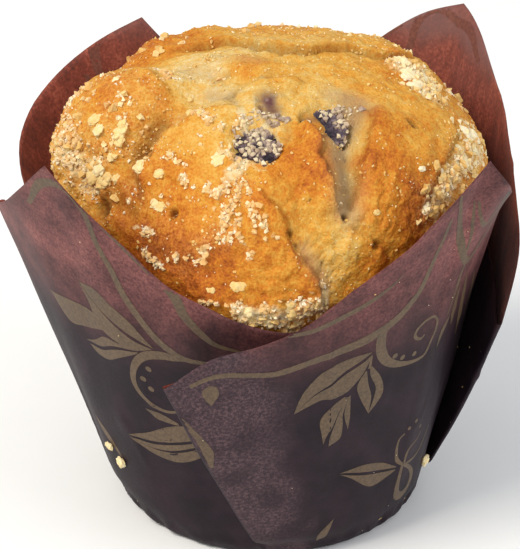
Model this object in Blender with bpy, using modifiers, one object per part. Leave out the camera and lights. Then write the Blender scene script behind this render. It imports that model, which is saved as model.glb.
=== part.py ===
"""A berry muffin in a folded paper case.

The case is one square sheet pressed round a small disc: four Z-shaped pleats take up the sheet's
sides and its four corners stand as petals. The cake fills the case and domes over it, with cracks
and lobes in the crust, and three berries are baked into pockets in the crown.

Units are metres, +Z is up, and the origin is the middle of the case's flat disc on the table.
Angles run counter-clockwise from +X, and -Y is the front.
"""
import math

import bmesh
import bpy
import numpy as np

MM = 0.001

# ---- driving sizes: the paper case ----
PAPER = 0.25 * MM            # sheet thickness, thicker than real paper so that it is a sound solid
DISC_RADIUS = 25.0 * MM      # flat disc that rests on the table
CORNER = 3.0 * MM            # pressed round from the disc into the wall
WALL_LEAN = math.radians(11.0)
FOLD_GAP = 0.6 * MM          # step from one layer of a pleat to the next
PLEAT_BASE = 1.6 * MM        # length of ring that puckers into each pleat
PLEAT_START = 0.06           # share of the wall's height over which the pucker folds flat
PLEAT_ANGLES = (-93.0, -3.0, 87.0, 178.0)

# Each petal's top edge from its outer fold up to its peak and down to its inner fold:
# (angle in degrees, radius in mm, height in mm, how far the wall below bellies out in mm).
FRONT_RIGHT_RISE = ((-111.5, 47.5, 44.2, 0.0), (-101.5, 46.0, 50.6, -0.1), (-92.4, 44.5, 52.5, -0.4),
                    (-83.9, 43.7, 55.1, -0.6), (-72.9, 43.3, 60.6, -0.7), (-56.8, 45.0, 69.9, -1.1),
                    (-45.2, 49.3, 81.5, -2.1))
FRONT_RIGHT_FALL = ((-45.2, 49.3, 81.5, -2.1), (-41.3, 50.2, 77.1, -2.9), (-36.0, 48.3, 73.1, -2.6),
                    (-27.0, 43.5, 67.1, -1.2), (-12.0, 39.8, 59.6, -0.2), (13.0, 38.0, 51.1, 0.0))
BACK_RIGHT_RISE = ((-28.0, 44.7, 44.1, 0.0), (-22.0, 45.3, 54.5, 0.3), (-10.6, 43.3, 60.5, 1.0),
                   (2.8, 41.7, 67.0, 1.6), (13.8, 41.8, 72.4, 1.6), (26.0, 43.2, 76.8, 0.0),
                   (34.0, 45.4, 79.4, -1.0), (43.5, 48.3, 81.6, -1.8))
BACK_RIGHT_FALL = ((43.5, 48.3, 81.6, -1.8), (52.0, 46.0, 78.6, -1.5), (60.0, 43.5, 74.1, -0.8),
                   (75.0, 40.5, 63.0, -0.3), (90.0, 38.7, 54.6, 0.0), (103.0, 38.0, 51.5, 0.0),
                   (114.0, 37.9, 50.0, 0.0))
BACK_LEFT_RISE = ((66.0, 46.0, 47.6, 0.0), (80.0, 45.0, 51.6, 0.0), (98.0, 43.5, 58.6, 0.0),
                  (110.0, 43.0, 65.6, 0.0), (118.7, 43.0, 72.4, -0.6), (123.5, 44.0, 77.0, -1.2))
BACK_LEFT_FALL = ((123.5, 44.0, 77.0, -1.2), (135.5, 46.0, 73.7, -2.0), (155.2, 47.6, 66.7, -2.0),
                  (165.0, 46.8, 63.0, -1.8), (176.0, 43.8, 58.6, -1.2), (195.0, 39.2, 53.0, -0.2),
                  (211.0, 38.2, 51.0, 0.0), (227.0, 37.9, 49.6, 0.0))
FRONT_LEFT_RISE = ((187.9, 47.9, 59.6, 0.0), (198.0, 47.4, 64.0, -0.2), (208.0, 48.0, 69.6, -0.6),
                   (220.9, 48.8, 78.6, -1.0))
FRONT_LEFT_FALL = ((220.9, 48.8, 78.6, -1.0), (228.7, 45.0, 70.9, -0.3), (235.6, 42.5, 65.4, 0.0),
                   (244.0, 40.5, 59.5, 0.0), (253.7, 39.3, 56.1, 0.0), (270.9, 38.5, 51.9, 0.0),
                   (286.0, 38.3, 51.6, 0.0))
PETALS = ((FRONT_RIGHT_RISE, FRONT_RIGHT_FALL), (BACK_RIGHT_RISE, BACK_RIGHT_FALL),
          (BACK_LEFT_RISE, BACK_LEFT_FALL), (FRONT_LEFT_RISE, FRONT_LEFT_FALL))

BELLY_PEAK = 6.75            # scales t * t * (1 - t) to reach 1 two thirds of the way up

# ---- how finely the case is made ----
RISE_COLUMNS = 8
FALL_COLUMNS = 8
BEND_COLUMNS = 3
MIDDLE_COLUMNS = 3
CORNER_ROWS = 3
WALL_ROWS = (0.0, 0.03, 0.06, 0.14, 0.28, 0.42, 0.56, 0.70, 0.82, 0.92, 1.0)
MIDDLE_BULGE = 0.8           # mm, how far a pleat's hidden middle layer bows out

# ---- driving sizes: the cake ----
CLEARANCE = 0.3 * MM         # gap to the paper and round each berry
CAKE_CENTRE = (0.7 * MM, 0.0)
RIM_HEIGHT = 51.5 * MM       # where the cake leaves the paper at the front
DOME_BASE = 56.5 * MM        # height of the dome's widest ring
DOME_RADIUS = 38.0 * MM
DOME_HEIGHT = 29.6 * MM
DOME_FLATTEN = 2.3           # 2 is an ellipse, more gives a broader crown
CAKE_SEGMENTS = 44
CAKE_RINGS = 24
BOTTOM_RINGS = 3
WALL_RINGS = 5

# Lobes that the batter pushed up: (x, y) of the middle on the dome, spread and rise, all in mm.
LOBES = (((-30.0, -7.0), 11.0, 4.6), ((-24.0, -13.0), 9.0, 1.2), ((-12.0, -22.0), 7.0, 1.0),
         ((-7.0, -33.0), 10.0, 1.6), ((24.0, -17.0), 12.0, 1.4), ((-8.0, 14.0), 12.0, -1.6),
         ((22.0, 12.0), 9.0, 0.8), ((-35.0, -11.0), 6.0, 1.8))
# Ridges and cracks: (x, y) of both ends on the dome, half-width and rise, all in mm.
CREASES = (((6.4, -23.0), (9.2, -31.0), 3.0, 1.3), ((10.5, -20.5), (12.0, -30.5), 2.6, -2.4),
           ((7.0, -34.5), (11.0, -36.0), 5.0, -1.4), ((-14.0, -13.0), (-23.0, -20.0), 2.8, -2.2),
           ((-19.0, -2.0), (-7.0, -11.0), 4.0, -1.3), ((-22.0, 4.0), (20.0, 6.0), 3.5, -0.8))

# ---- driving sizes: the berries ----
# (x, y) on the dome, radius and how deep its centre lies under the crust, all in mm.
BERRIES = (((-3.5, -26.9), 5.0, 2.8), ((8.4, -21.2), 4.6, 2.4), ((-1.4, -17.2), 3.7, 1.8))
BERRY_SQUASH = 0.9           # height of a berry against its width
CROWN_RADIUS = 0.34          # rim of the dimple, as a share of the berry's radius
CROWN_DEPTH = 0.22
BERRY_SEGMENTS = 18
BERRY_RINGS = 12

PAPER_COLOUR = (0.051, 0.024, 0.030, 1.0)
CRUST_COLOUR = (0.60, 0.32, 0.09, 1.0)
BERRY_COLOUR = (0.045, 0.025, 0.065, 1.0)


def clear_scene():
    for old in list(bpy.data.objects):
        bpy.data.objects.remove(old, do_unlink=True)


def new_collection(name):
    made = bpy.data.collections.new(name)
    bpy.context.scene.collection.children.link(made)
    return made


def material(name, colour, roughness):
    made = bpy.data.materials.new(name)
    made.use_nodes = True
    shader = made.node_tree.nodes["Principled BSDF"]
    shader.inputs["Base Color"].default_value = colour
    shader.inputs["Roughness"].default_value = roughness
    shader.inputs["Metallic"].default_value = 0.0
    return made


def add_object(name, mesh, collection, finish=None):
    made = bpy.data.objects.new(name, mesh)
    collection.objects.link(made)
    if finish:
        mesh.materials.append(finish)
    return made


def polar(angle, radius, height):
    """Points from angles in degrees, radii and heights."""
    turn = np.radians(angle)
    return np.stack([radius * np.cos(turn), radius * np.sin(turn), height + 0.0 * turn], axis=-1)


def smooth_step(value):
    value = np.clip(value, 0.0, 1.0)
    return value * value * (3.0 - 2.0 * value)


# ---------------------------------------------------------------- the case

def edge_run(points, count):
    """count + 1 places spread evenly along a smooth curve through the hand-set points."""
    points = np.array(points, dtype=float)
    steps = np.linalg.norm(np.diff(polar(*points[:, :3].T), axis=0), axis=1)
    along = np.concatenate([[0.0], np.cumsum(steps)])
    slope = np.gradient(points, along, axis=0)
    wanted = np.linspace(0.0, along[-1], count + 1)
    piece = np.clip(np.searchsorted(along, wanted, side="right") - 1, 0, len(along) - 2)
    length = (along[piece + 1] - along[piece])[:, None]
    u = (wanted[:, None] - along[piece][:, None]) / length
    return ((2 * u ** 3 - 3 * u ** 2 + 1) * points[piece] + (u ** 3 - 2 * u ** 2 + u) * length * slope[piece]
            + (3 * u ** 2 - 2 * u ** 3) * points[piece + 1] + (u ** 3 - u ** 2) * length * slope[piece + 1])


def cone_radius(height):
    """The plain wall's radius, before any flare."""
    ring = DISC_RADIUS + CORNER * math.cos(WALL_LEAN)
    return ring + math.tan(WALL_LEAN) * (height - wall_foot())


def wall_foot():
    return 0.5 * PAPER + CORNER * (1.0 - math.sin(WALL_LEAN))


def case_columns():
    """One column for each line up the sheet: foot angle, layer step, sideways bend and top edge."""
    columns = []
    for k, (rise, fall) in enumerate(PETALS):
        start = PLEAT_ANGLES[k]
        end = PLEAT_ANGLES[(k + 1) % 4] + (360.0 if k == 3 else 0.0)
        up = edge_run(rise, RISE_COLUMNS)
        down = edge_run(fall, FALL_COLUMNS)
        petal = np.concatenate([up, down[1:]])
        share = (petal[:, 0] - petal[0, 0]) / (petal[-1, 0] - petal[0, 0])
        for q, edge in zip(share, petal):
            columns.append(dict(foot=start + (end - start) * q, layer=2.0 * (1.0 - q) ** 2, bend=0.0,
                                edge=edge, ring=q, pleat=None))
        columns += pleat_columns((k + 1) % 4, petal[-1], end)
    return columns


def pleat_columns(k, inner, foot):
    """The inner bend, the middle layer and the outer bend of the pleat before petal k."""
    outer = np.array(PETALS[k][0][0], dtype=float)
    outer[0] += 360.0 * round((foot - outer[0]) / 360.0)
    start, end = polar(*inner[:3]), polar(*outer[:3])
    end = end * (1.0 - FOLD_GAP / MM / outer[1] * np.array([1.0, 1.0, 0.0]))
    start = start * (1.0 + FOLD_GAP / MM / inner[1] * np.array([1.0, 1.0, 0.0]))
    made = []
    turns = np.linspace(0.0, 1.0, BEND_COLUMNS + 1)[1:-1]
    for u in turns:
        made.append(dict(layer=0.5 - 0.5 * math.cos(math.pi * u), bend=math.sin(math.pi * u), end=inner,
                         step=0.0))
    for u in np.linspace(0.0, 1.0, MIDDLE_COLUMNS + 1):
        place = start * (1.0 - u) + end * u
        edge = np.array([math.degrees(math.atan2(place[1], place[0])),
                         math.hypot(place[0], place[1]) + MIDDLE_BULGE * 4.0 * u * (1.0 - u), place[2], 0.0])
        edge[0] += 360.0 * round((foot - edge[0]) / 360.0)
        made.append(dict(layer=1.0, bend=0.0, end=edge, step=1.0))
    for u in turns:
        made.append(dict(layer=1.5 - 0.5 * math.cos(math.pi * u), bend=-math.sin(math.pi * u), end=outer,
                         step=2.0))
    columns = []
    for i, item in enumerate(made):
        edge = np.array(item["end"], dtype=float)
        edge[1] += (item["layer"] - item["step"]) * FOLD_GAP / MM
        columns.append(dict(foot=foot, layer=item["layer"], bend=item["bend"], edge=edge,
                            ring=(i + 1.0) / (len(made) + 1.0), pleat=k))
    return columns


def wall_points(column, ring_angle):
    """The column's points from the foot of the wall to the sheet's edge."""
    t = np.array(WALL_ROWS)
    angle, radius, height, belly = column["edge"] * np.array([1.0, MM, MM, MM])
    foot_radius = cone_radius(wall_foot()) + column["layer"] * FOLD_GAP
    foot = polar(column["foot"], foot_radius, wall_foot())
    top = polar(angle, radius, height)
    line = foot * (1.0 - t[:, None]) + top * t[:, None]
    reach = foot_radius * (1.0 - t) + radius * t + belly * BELLY_PEAK * t * t * (1.0 - t)
    line[:, :2] *= (reach / np.hypot(line[:, 0], line[:, 1]))[:, None]
    side = np.array([-math.sin(math.radians(column["foot"])), math.cos(math.radians(column["foot"])), 0.0])
    line += side * column["bend"] * 0.5 * FOLD_GAP
    plain_height = wall_foot() + (height - wall_foot()) * t
    plain = polar(ring_angle + 0.0 * t, cone_radius(plain_height), plain_height)
    folded = smooth_step(t / PLEAT_START)[:, None]
    return plain + (line - plain) * folded


def ring_angles(columns):
    """Angles of the columns' feet on the round corner, with room for each pleat's pucker."""
    half = math.degrees(0.5 * PLEAT_BASE / DISC_RADIUS)
    angles = []
    for column in columns:
        if column["pleat"] is None:
            side = 1.0 - 2.0 * column["ring"]
            angles.append(column["foot"] + half * side)
        else:
            angles.append(column["foot"] + half * (2.0 * column["ring"] - 1.0))
    return angles


def case_surface():
    """The folded sheet as rows of points from the middle of the disc to the sheet's edge."""
    columns = case_columns()
    angles = ring_angles(columns)
    stack = []
    for column, angle in zip(columns, angles):
        turns = np.linspace(0.0, math.pi / 2 - WALL_LEAN, CORNER_ROWS + 1)[:-1]
        corner = polar(angle + 0.0 * turns, DISC_RADIUS + CORNER * np.sin(turns),
                       0.5 * PAPER + CORNER * (1.0 - np.cos(turns)))
        stack.append(np.concatenate([corner, wall_points(column, angle)]))
    return np.array(stack)


def make_case(collection):
    surface = case_surface()
    columns, rows = surface.shape[:2]
    bm = bmesh.new()
    middle = bm.verts.new((0.0, 0.0, 0.5 * PAPER))
    grid = [[bm.verts.new(point) for point in column] for column in surface]
    for i in range(columns):
        here, after = grid[i], grid[(i + 1) % columns]
        bm.faces.new((middle, after[0], here[0]))
        for j in range(rows - 1):
            bm.faces.new((here[j], after[j], after[j + 1], here[j + 1]))
    mesh = bpy.data.meshes.new("paper_case")
    bm.to_mesh(mesh)
    bm.free()
    case = add_object("paper_case", mesh, collection, material("dark printed paper", PAPER_COLOUR, 0.6))
    shell = case.modifiers.new("sheet thickness", "SOLIDIFY")
    shell.thickness = PAPER
    shell.offset = 0.0
    return case


# ---------------------------------------------------------------- the cake

def cake_profile(v):
    """Radius and height round the cake's outline, from v = 0 under the base to v = 1 on the crown."""
    inset = 0.5 * PAPER + CLEARANCE
    foot = PAPER + CLEARANCE
    base = DISC_RADIUS - inset
    corner = CORNER - inset
    bottom_end = BOTTOM_RINGS / CAKE_RINGS
    wall_end = (BOTTOM_RINGS + WALL_RINGS) / CAKE_RINGS
    if v <= bottom_end:
        share = v / bottom_end
        if share <= 0.5:
            return base * share / 0.5, foot
        turn = (share - 0.5) / 0.5 * (math.pi / 2 - WALL_LEAN)
        return base + corner * math.sin(turn), foot + corner * (1.0 - math.cos(turn))
    if v <= wall_end:
        low = foot + corner * (1.0 - math.sin(WALL_LEAN))
        height = low + (RIM_HEIGHT - low) * (v - bottom_end) / (wall_end - bottom_end)
        return cone_radius(height) - inset, height
    turn = (v - wall_end) / (1.0 - wall_end)
    rim = cone_radius(RIM_HEIGHT) - inset
    start = -math.acos(rim / DOME_RADIUS)
    angle = start + (math.pi / 2 - start) * turn
    if angle < 0.0:
        lift = (DOME_BASE - RIM_HEIGHT) / math.sin(-start)
        return DOME_RADIUS * math.cos(angle), DOME_BASE + lift * math.sin(angle)
    power = 2.0 / DOME_FLATTEN
    return DOME_RADIUS * math.cos(angle) ** power, DOME_BASE + DOME_HEIGHT * math.sin(angle) ** power


def dome_height(x, y):
    """Height of the plain dome over a place given in metres from the cake's axis."""
    reach = min(math.hypot(x, y) / DOME_RADIUS, 0.999)
    return DOME_BASE + DOME_HEIGHT * (1.0 - reach ** DOME_FLATTEN) ** (1.0 / DOME_FLATTEN)


def on_dome(place):
    x, y = place[0] * MM, place[1] * MM
    return np.array([x, y, dome_height(x, y)])


def crust_rise(point):
    """How far the crust stands out at a point of the plain dome, in metres."""
    rise = 0.0
    for place, spread, height in LOBES:
        far = np.linalg.norm(point - on_dome(place)) / (spread * MM)
        rise += height * MM * math.exp(-far ** 4)
    for start, end, width, height in CREASES:
        a, b = on_dome(start), on_dome(end)
        along = np.clip(np.dot(point - a, b - a) / np.dot(b - a, b - a), 0.0, 1.0)
        far = np.linalg.norm(point - a - along * (b - a)) / (width * MM)
        rise += height * MM * math.exp(-far ** 2)
    return rise


def dome_normal(x, y, z):
    out = np.array([x / DOME_RADIUS ** 2, y / DOME_RADIUS ** 2, max(z - DOME_BASE, 0.0) / DOME_HEIGHT ** 2])
    return out / np.linalg.norm(out)


def crust_point(angle, v):
    radius, height = cake_profile(v)
    point = np.array([radius * math.cos(angle), radius * math.sin(angle), height])
    fade = float(smooth_step((height - RIM_HEIGHT) / (DOME_BASE - RIM_HEIGHT)))
    if fade > 0.0:
        point = point + dome_normal(*point) * crust_rise(point) * fade
    return point + np.array([*CAKE_CENTRE, 0.0]) * fade


def make_cake(collection):
    bm = bmesh.new()
    bmesh.ops.create_uvsphere(bm, u_segments=CAKE_SEGMENTS, v_segments=CAKE_RINGS, radius=1.0)
    for vert in bm.verts:
        angle = math.atan2(vert.co.y, vert.co.x)
        v = 1.0 - math.acos(max(-1.0, min(1.0, vert.co.z))) / math.pi
        vert.co = crust_point(angle, v)
    mesh = bpy.data.meshes.new("cake")
    bm.to_mesh(mesh)
    bm.free()
    return add_object("cake", mesh, collection, material("baked muffin crust", CRUST_COLOUR, 0.7))


# ---------------------------------------------------------------- the berries

def berry_shape(name, radius, crown):
    """A squashed ball; with a crown, its top holds the five-pointed dimple the flower left."""
    bm = bmesh.new()
    bmesh.ops.create_uvsphere(bm, u_segments=BERRY_SEGMENTS, v_segments=BERRY_RINGS, radius=radius)
    for vert in bm.verts:
        across = math.hypot(vert.co.x, vert.co.y) / radius
        if crown and vert.co.z > 0.0:
            points = 1.0 + 0.18 * math.cos(5.0 * math.atan2(vert.co.y, vert.co.x))
            vert.co.z -= radius * CROWN_DEPTH * math.exp(-(across / (CROWN_RADIUS * points)) ** 4)
        vert.co.z *= BERRY_SQUASH
    mesh = bpy.data.meshes.new(name)
    bm.to_mesh(mesh)
    bm.free()
    return mesh


def make_berry(number, place, radius, depth, cake, parts, cutters):
    """Berry in a pocket that is the berry's own shape plus the clearance."""
    on_crust = on_dome(place)
    out = dome_normal(*on_crust)
    centre = on_crust + out * (crust_rise(on_crust) - depth * MM) + np.array([*CAKE_CENTRE, 0.0])
    tilt = (math.acos(out[2]), math.atan2(out[1], out[0]) + math.pi / 2)
    name = f"blueberry_{number}"
    berry = add_object(name, berry_shape(name, radius * MM, True), parts,
                       material(f"berry skin {number}", BERRY_COLOUR, 0.45))
    pocket = add_object(f"pocket_{number}", berry_shape(f"pocket_{number}", radius * MM + CLEARANCE / BERRY_SQUASH,
                                                        False), cutters)
    pocket.hide_render = True
    pocket.display_type = "WIRE"
    for made in (berry, pocket):
        made.location = centre
        made.rotation_euler = (tilt[0], 0.0, tilt[1])
    cut = cake.modifiers.new(f"pocket {number}", "BOOLEAN")
    cut.operation = "DIFFERENCE"
    cut.solver = "EXACT"
    cut.object = pocket


def main():
    clear_scene()
    parts = new_collection("muffin")
    cutters = new_collection("muffin cutters")
    make_case(parts)
    cake = make_cake(parts)
    for number, (place, radius, depth) in enumerate(BERRIES, start=1):
        make_berry(number, place, radius, depth, cake, parts, cutters)


main()
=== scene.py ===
# %% [markdown]
# # A berry muffin in its folded paper case
# The real thing is a cup of baked batter in a square of brown printed paper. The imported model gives
# the sizes and the place of every piece. This file makes the fine surfaces over it: the folded sheet
# with its scroll print, the cracked sugared crust, the burst berries and the loose crumbs.
# All lengths are metres; a table in millimetres is multiplied by MM.

import math

import bmesh
import bpy
import numpy as np
from mathutils import Euler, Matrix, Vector, noise


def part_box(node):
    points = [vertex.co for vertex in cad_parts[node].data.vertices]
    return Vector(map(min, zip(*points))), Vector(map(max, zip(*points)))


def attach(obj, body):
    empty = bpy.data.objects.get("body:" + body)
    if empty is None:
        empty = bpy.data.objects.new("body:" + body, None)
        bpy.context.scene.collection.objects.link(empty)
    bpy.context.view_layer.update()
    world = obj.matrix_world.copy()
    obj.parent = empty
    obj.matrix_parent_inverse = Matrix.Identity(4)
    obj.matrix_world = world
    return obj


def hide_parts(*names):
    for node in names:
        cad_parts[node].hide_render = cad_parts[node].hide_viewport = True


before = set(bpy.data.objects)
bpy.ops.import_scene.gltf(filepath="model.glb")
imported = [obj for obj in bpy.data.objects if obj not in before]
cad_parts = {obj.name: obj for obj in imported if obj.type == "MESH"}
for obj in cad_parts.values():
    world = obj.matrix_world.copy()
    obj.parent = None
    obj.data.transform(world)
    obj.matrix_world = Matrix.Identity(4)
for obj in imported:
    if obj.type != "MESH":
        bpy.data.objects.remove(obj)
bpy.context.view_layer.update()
MM = 0.001

# %% [markdown]
# ## Helpers
# A few small tools come first. Colours are written as the hex values a paint chart would show and
# turned to linear light by one function. One helper adds any shader or geometry node, sets it up and
# links it, so a material reads from top to bottom like a recipe.

# %% Colour and node helpers
def linear(hex_value):
    """A linear RGBA colour from an sRGB hex value such as "#35282c"."""
    channels = [int(hex_value[i:i + 2], 16) / 255.0 for i in (1, 3, 5)]
    return (*[c / 12.92 if c <= 0.04045 else ((c + 0.055) / 1.055) ** 2.4 for c in channels], 1.0)


def add(tree, kind, inputs=None, **settings):
    """Adds a node; inputs maps a socket's name or number to a value or to another node's output."""
    made = tree.nodes.new(kind)
    for name, value in settings.items():
        setattr(made, name, value)
    for key, value in (inputs or {}).items():
        if isinstance(value, bpy.types.NodeSocket):
            tree.links.new(value, made.inputs[key])
        else:
            made.inputs[key].default_value = value
    return made


def new_material(name, inputs):
    """A Principled material and its tree; inputs are the shader's plain numbers and colours."""
    made = bpy.data.materials.new(name)
    made.use_nodes = True
    shader = made.node_tree.nodes["Principled BSDF"]
    for key, value in inputs.items():
        shader.inputs[key].default_value = value
    return made, made.node_tree, shader


def per_metre(size_mm):
    """A texture's scale on Object coordinates for features of this size in millimetres."""
    return 1.0 / (size_mm * MM)


# %% Shape helpers
def smooth_step(value):
    value = np.clip(value, 0.0, 1.0)
    return value * value * (3.0 - 2.0 * value)


def polar(angle, radius, height):
    """Points from angles in degrees, radii and heights."""
    turn = np.radians(angle)
    return np.stack([radius * np.cos(turn), radius * np.sin(turn), height + 0.0 * turn], axis=-1)


def noise_at(points, size_mm, seed=0):
    """Smooth noise between about -1 and 1 at an array of points, with features of this size."""
    places = np.asarray(points).reshape(-1, 3) / (size_mm * MM) + 17.3 * seed
    values = [noise.noise(Vector(place)) for place in places]
    return np.array(values).reshape(np.shape(points)[:-1])


def smooth_curve(points, spacing):
    """Evenly spaced places on a Catmull-Rom curve through the points, and the share along it."""
    points = np.array(points, dtype=float)
    ends = np.concatenate([[2 * points[0] - points[1]], points, [2 * points[-1] - points[-2]]])
    fine = []
    for i in range(1, len(ends) - 2):
        t = np.linspace(0.0, 1.0, 24, endpoint=False)[:, None]
        a, b, c, d = ends[i - 1:i + 3]
        fine.append(0.5 * (2 * b + (c - a) * t + (2 * a - 5 * b + 4 * c - d) * t ** 2
                           + (3 * b - a - 3 * c + d) * t ** 3))
    fine = np.concatenate([*fine, points[-1:]])
    along = np.concatenate([[0.0], np.cumsum(np.linalg.norm(np.diff(fine, axis=0), axis=1))])
    count = max(2, int(along[-1] / spacing) + 1)
    share = np.linspace(0.0, 1.0, count)
    return np.stack([np.interp(share * along[-1], along, fine[:, i]) for i in range(fine.shape[1])], 1), share


def mesh_object(name, points, faces, materials):
    """A smooth-shaded mesh object at the origin from arrays of points and faces."""
    mesh = bpy.data.meshes.new(name)
    mesh.from_pydata([tuple(p) for p in points], [], [tuple(int(i) for i in f) for f in faces])
    mesh.validate()
    mesh.shade_smooth()
    made = bpy.data.objects.new(name, mesh)
    bpy.context.scene.collection.objects.link(made)
    for material in materials:
        mesh.materials.append(material)
    return made


def store(piece, name, values):
    """Keeps one number for each point of the mesh, for a material or a Geometry Nodes tree to read."""
    kept = piece.data.attributes.new(name, "FLOAT", "POINT")
    kept.data.foreach_set("value", np.asarray(values, dtype=np.float32).ravel())


def triangles(piece):
    piece.data.calc_loop_triangles()
    return len(piece.data.loop_triangles)


# %% [markdown]
# ## Camera, floor and light
# The muffin is seen from the front and a little above, from about half a metre away. A long lens keeps
# the petals' proportions true. The floor is plain and pale, and the light is a pale room with one big
# soft lamp high on the left and a smaller one on the right, so that nothing throws a hard shadow.

# %% Camera
CAMERA_TARGET = Vector((-1.965, 0.0, 42.3)) * MM
CAMERA_DISTANCE = 456.54 * MM
CAMERA_ELEVATION = 0.4798
CAMERA_ROLL = 0.0078
CAMERA_LENS = 166.7

camera_data = bpy.data.cameras.new("camera")
camera_data.lens = CAMERA_LENS
camera_data.sensor_width = 36.0
camera_data.clip_start = 0.02
camera_data.clip_end = 20.0
camera = bpy.data.objects.new("camera", camera_data)
bpy.context.scene.collection.objects.link(camera)
away = Vector((0.0, -math.cos(CAMERA_ELEVATION), math.sin(CAMERA_ELEVATION)))
camera.location = CAMERA_TARGET + away * CAMERA_DISTANCE
facing = Euler((math.pi / 2 - CAMERA_ELEVATION, 0.0, 0.0)).to_matrix()
camera.rotation_euler = (facing @ Euler((0.0, 0.0, CAMERA_ROLL)).to_matrix()).to_euler()
bpy.context.scene.camera = camera
print("camera", round(CAMERA_DISTANCE, 3), "m away")

# %% Floor and light
FLOOR_HALF = 2.0
FLOOR_DROP = 0.05 * MM

floor_material, floor_tree, floor_shader = new_material(
    "matt white card", {"Roughness": 0.9, "Specular IOR Level": 0.2})
grain = add(floor_tree, "ShaderNodeTexNoise", {"Scale": per_metre(2.0), "Detail": 3.0})
shade = add(floor_tree, "ShaderNodeMix", {0: grain.outputs["Fac"], 6: linear("#fbfbfa"), 7: linear("#fefefd")},
            data_type="RGBA")
floor_tree.links.new(shade.outputs[2], floor_shader.inputs["Base Color"])

corners = [(-1, -1), (1, -1), (1, 1), (-1, 1)]
floor = mesh_object("floor", [(x * FLOOR_HALF, y * FLOOR_HALF, -FLOOR_DROP) for x, y in corners],
                    [(0, 1, 2, 3)], [floor_material])


def soft_lamp(name, place, size, watts, tint):
    """A square area lamp that looks at the middle of the muffin."""
    data = bpy.data.lights.new(name, "AREA")
    data.shape = "SQUARE"
    data.size = size
    data.energy = watts
    data.color = linear(tint)[:3]
    lamp = bpy.data.objects.new(name, data)
    bpy.context.scene.collection.objects.link(lamp)
    lamp.location = place
    lamp.rotation_euler = (CAMERA_TARGET - lamp.location).to_track_quat("-Z", "Y").to_euler()


soft_lamp("soft lamp on the left", Vector((-0.55, -0.45, 0.85)), 0.42, 8.7, "#fff9ef")
soft_lamp("fill lamp on the right", Vector((0.75, -0.45, 0.55)), 0.60, 2.8, "#f6f8ff")

world = bpy.data.worlds.new("pale room")
world.use_nodes = True
world.node_tree.nodes["Background"].inputs["Color"].default_value = linear("#f8fafc")
world.node_tree.nodes["Background"].inputs["Strength"].default_value = 0.64
bpy.context.scene.world = world
bpy.context.scene.view_settings.view_transform = "Standard"
print("floor, two lamps and a pale room")

# %% [markdown]
# ## The folded sheet
# A tulip case is one square of greaseproof paper, pressed over a plug. The disc under the plug stays
# flat, the wall leans out, and the spare paper along each side of the square gathers into one Z-shaped
# pleat. The square's corners stand up as petals. The same rule makes the fine sheet here: every line
# up the wall starts at the disc and ends on the sheet's edge, whose outline is listed below.
# Each edge point is (angle in degrees, radius mm, height mm, how far the wall bellies out in mm).

# %% Driving sizes of the case
PAPER_SOLID = 0.25 * MM
PAPER_SHOWN = 0.10 * MM
DISC_RADIUS = 25.0 * MM
CORNER = 3.0 * MM
WALL_LEAN = math.radians(11.0)
FOLD_GAP = 0.6 * MM
PLEAT_BASE = 1.6 * MM
PLEAT_START = 0.06
PLEAT_ANGLES = (-93.0, -3.0, 87.0, 178.0)
HALF_SHEET = 77.0 * MM
BELLY_PEAK = 6.75
MIDDLE_BULGE = 0.8

FRONT_RIGHT_RISE = ((-111.5, 47.5, 44.2, 0.0), (-101.5, 46.0, 50.6, -0.1), (-92.4, 44.5, 52.5, -0.4),
                    (-83.9, 43.7, 55.1, -0.6), (-72.9, 43.3, 60.6, -0.7), (-56.8, 45.0, 69.9, -1.1),
                    (-45.2, 49.3, 81.5, -2.1))
FRONT_RIGHT_FALL = ((-45.2, 49.3, 81.5, -2.1), (-41.3, 50.2, 77.1, -2.9), (-36.0, 48.3, 73.1, -2.6),
                    (-27.0, 43.5, 67.1, -1.2), (-12.0, 39.8, 59.6, -0.2), (13.0, 38.0, 51.1, 0.0))
BACK_RIGHT_RISE = ((-28.0, 44.7, 44.1, 0.0), (-22.0, 45.3, 54.5, 0.3), (-10.6, 43.3, 60.5, 1.0),
                   (2.8, 41.7, 67.0, 1.6), (13.8, 41.8, 72.4, 1.6), (26.0, 43.2, 76.8, 0.0),
                   (34.0, 45.4, 79.4, -1.0), (43.5, 48.3, 81.6, -1.8))
BACK_RIGHT_FALL = ((43.5, 48.3, 81.6, -1.8), (52.0, 46.0, 78.6, -1.5), (60.0, 43.5, 74.1, -0.8),
                   (75.0, 40.5, 63.0, -0.3), (90.0, 38.7, 54.6, 0.0), (103.0, 38.0, 51.5, 0.0),
                   (114.0, 37.9, 50.0, 0.0))
BACK_LEFT_RISE = ((66.0, 46.0, 47.6, 0.0), (80.0, 45.0, 51.6, 0.0), (98.0, 43.5, 58.6, 0.0),
                  (110.0, 43.0, 65.6, 0.0), (118.7, 43.0, 72.4, -0.6), (123.5, 44.0, 77.0, -1.2))
BACK_LEFT_FALL = ((123.5, 44.0, 77.0, -1.2), (135.5, 46.0, 73.7, -2.0), (155.2, 47.6, 66.7, -2.0),
                  (165.0, 46.8, 63.0, -1.8), (176.0, 43.8, 58.6, -1.2), (195.0, 39.2, 53.0, -0.2),
                  (211.0, 38.2, 51.0, 0.0), (227.0, 37.9, 49.6, 0.0))
FRONT_LEFT_RISE = ((187.9, 47.9, 59.6, 0.0), (198.0, 47.4, 64.0, -0.2), (208.0, 48.0, 69.6, -0.6),
                   (220.9, 48.8, 78.6, -1.0))
FRONT_LEFT_FALL = ((220.9, 48.8, 78.6, -1.0), (228.7, 45.0, 70.9, -0.3), (235.6, 42.5, 65.4, 0.0),
                   (244.0, 40.5, 59.5, 0.0), (253.7, 39.3, 56.1, 0.0), (270.9, 38.5, 51.9, 0.0),
                   (286.0, 38.3, 51.6, 0.0))
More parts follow.
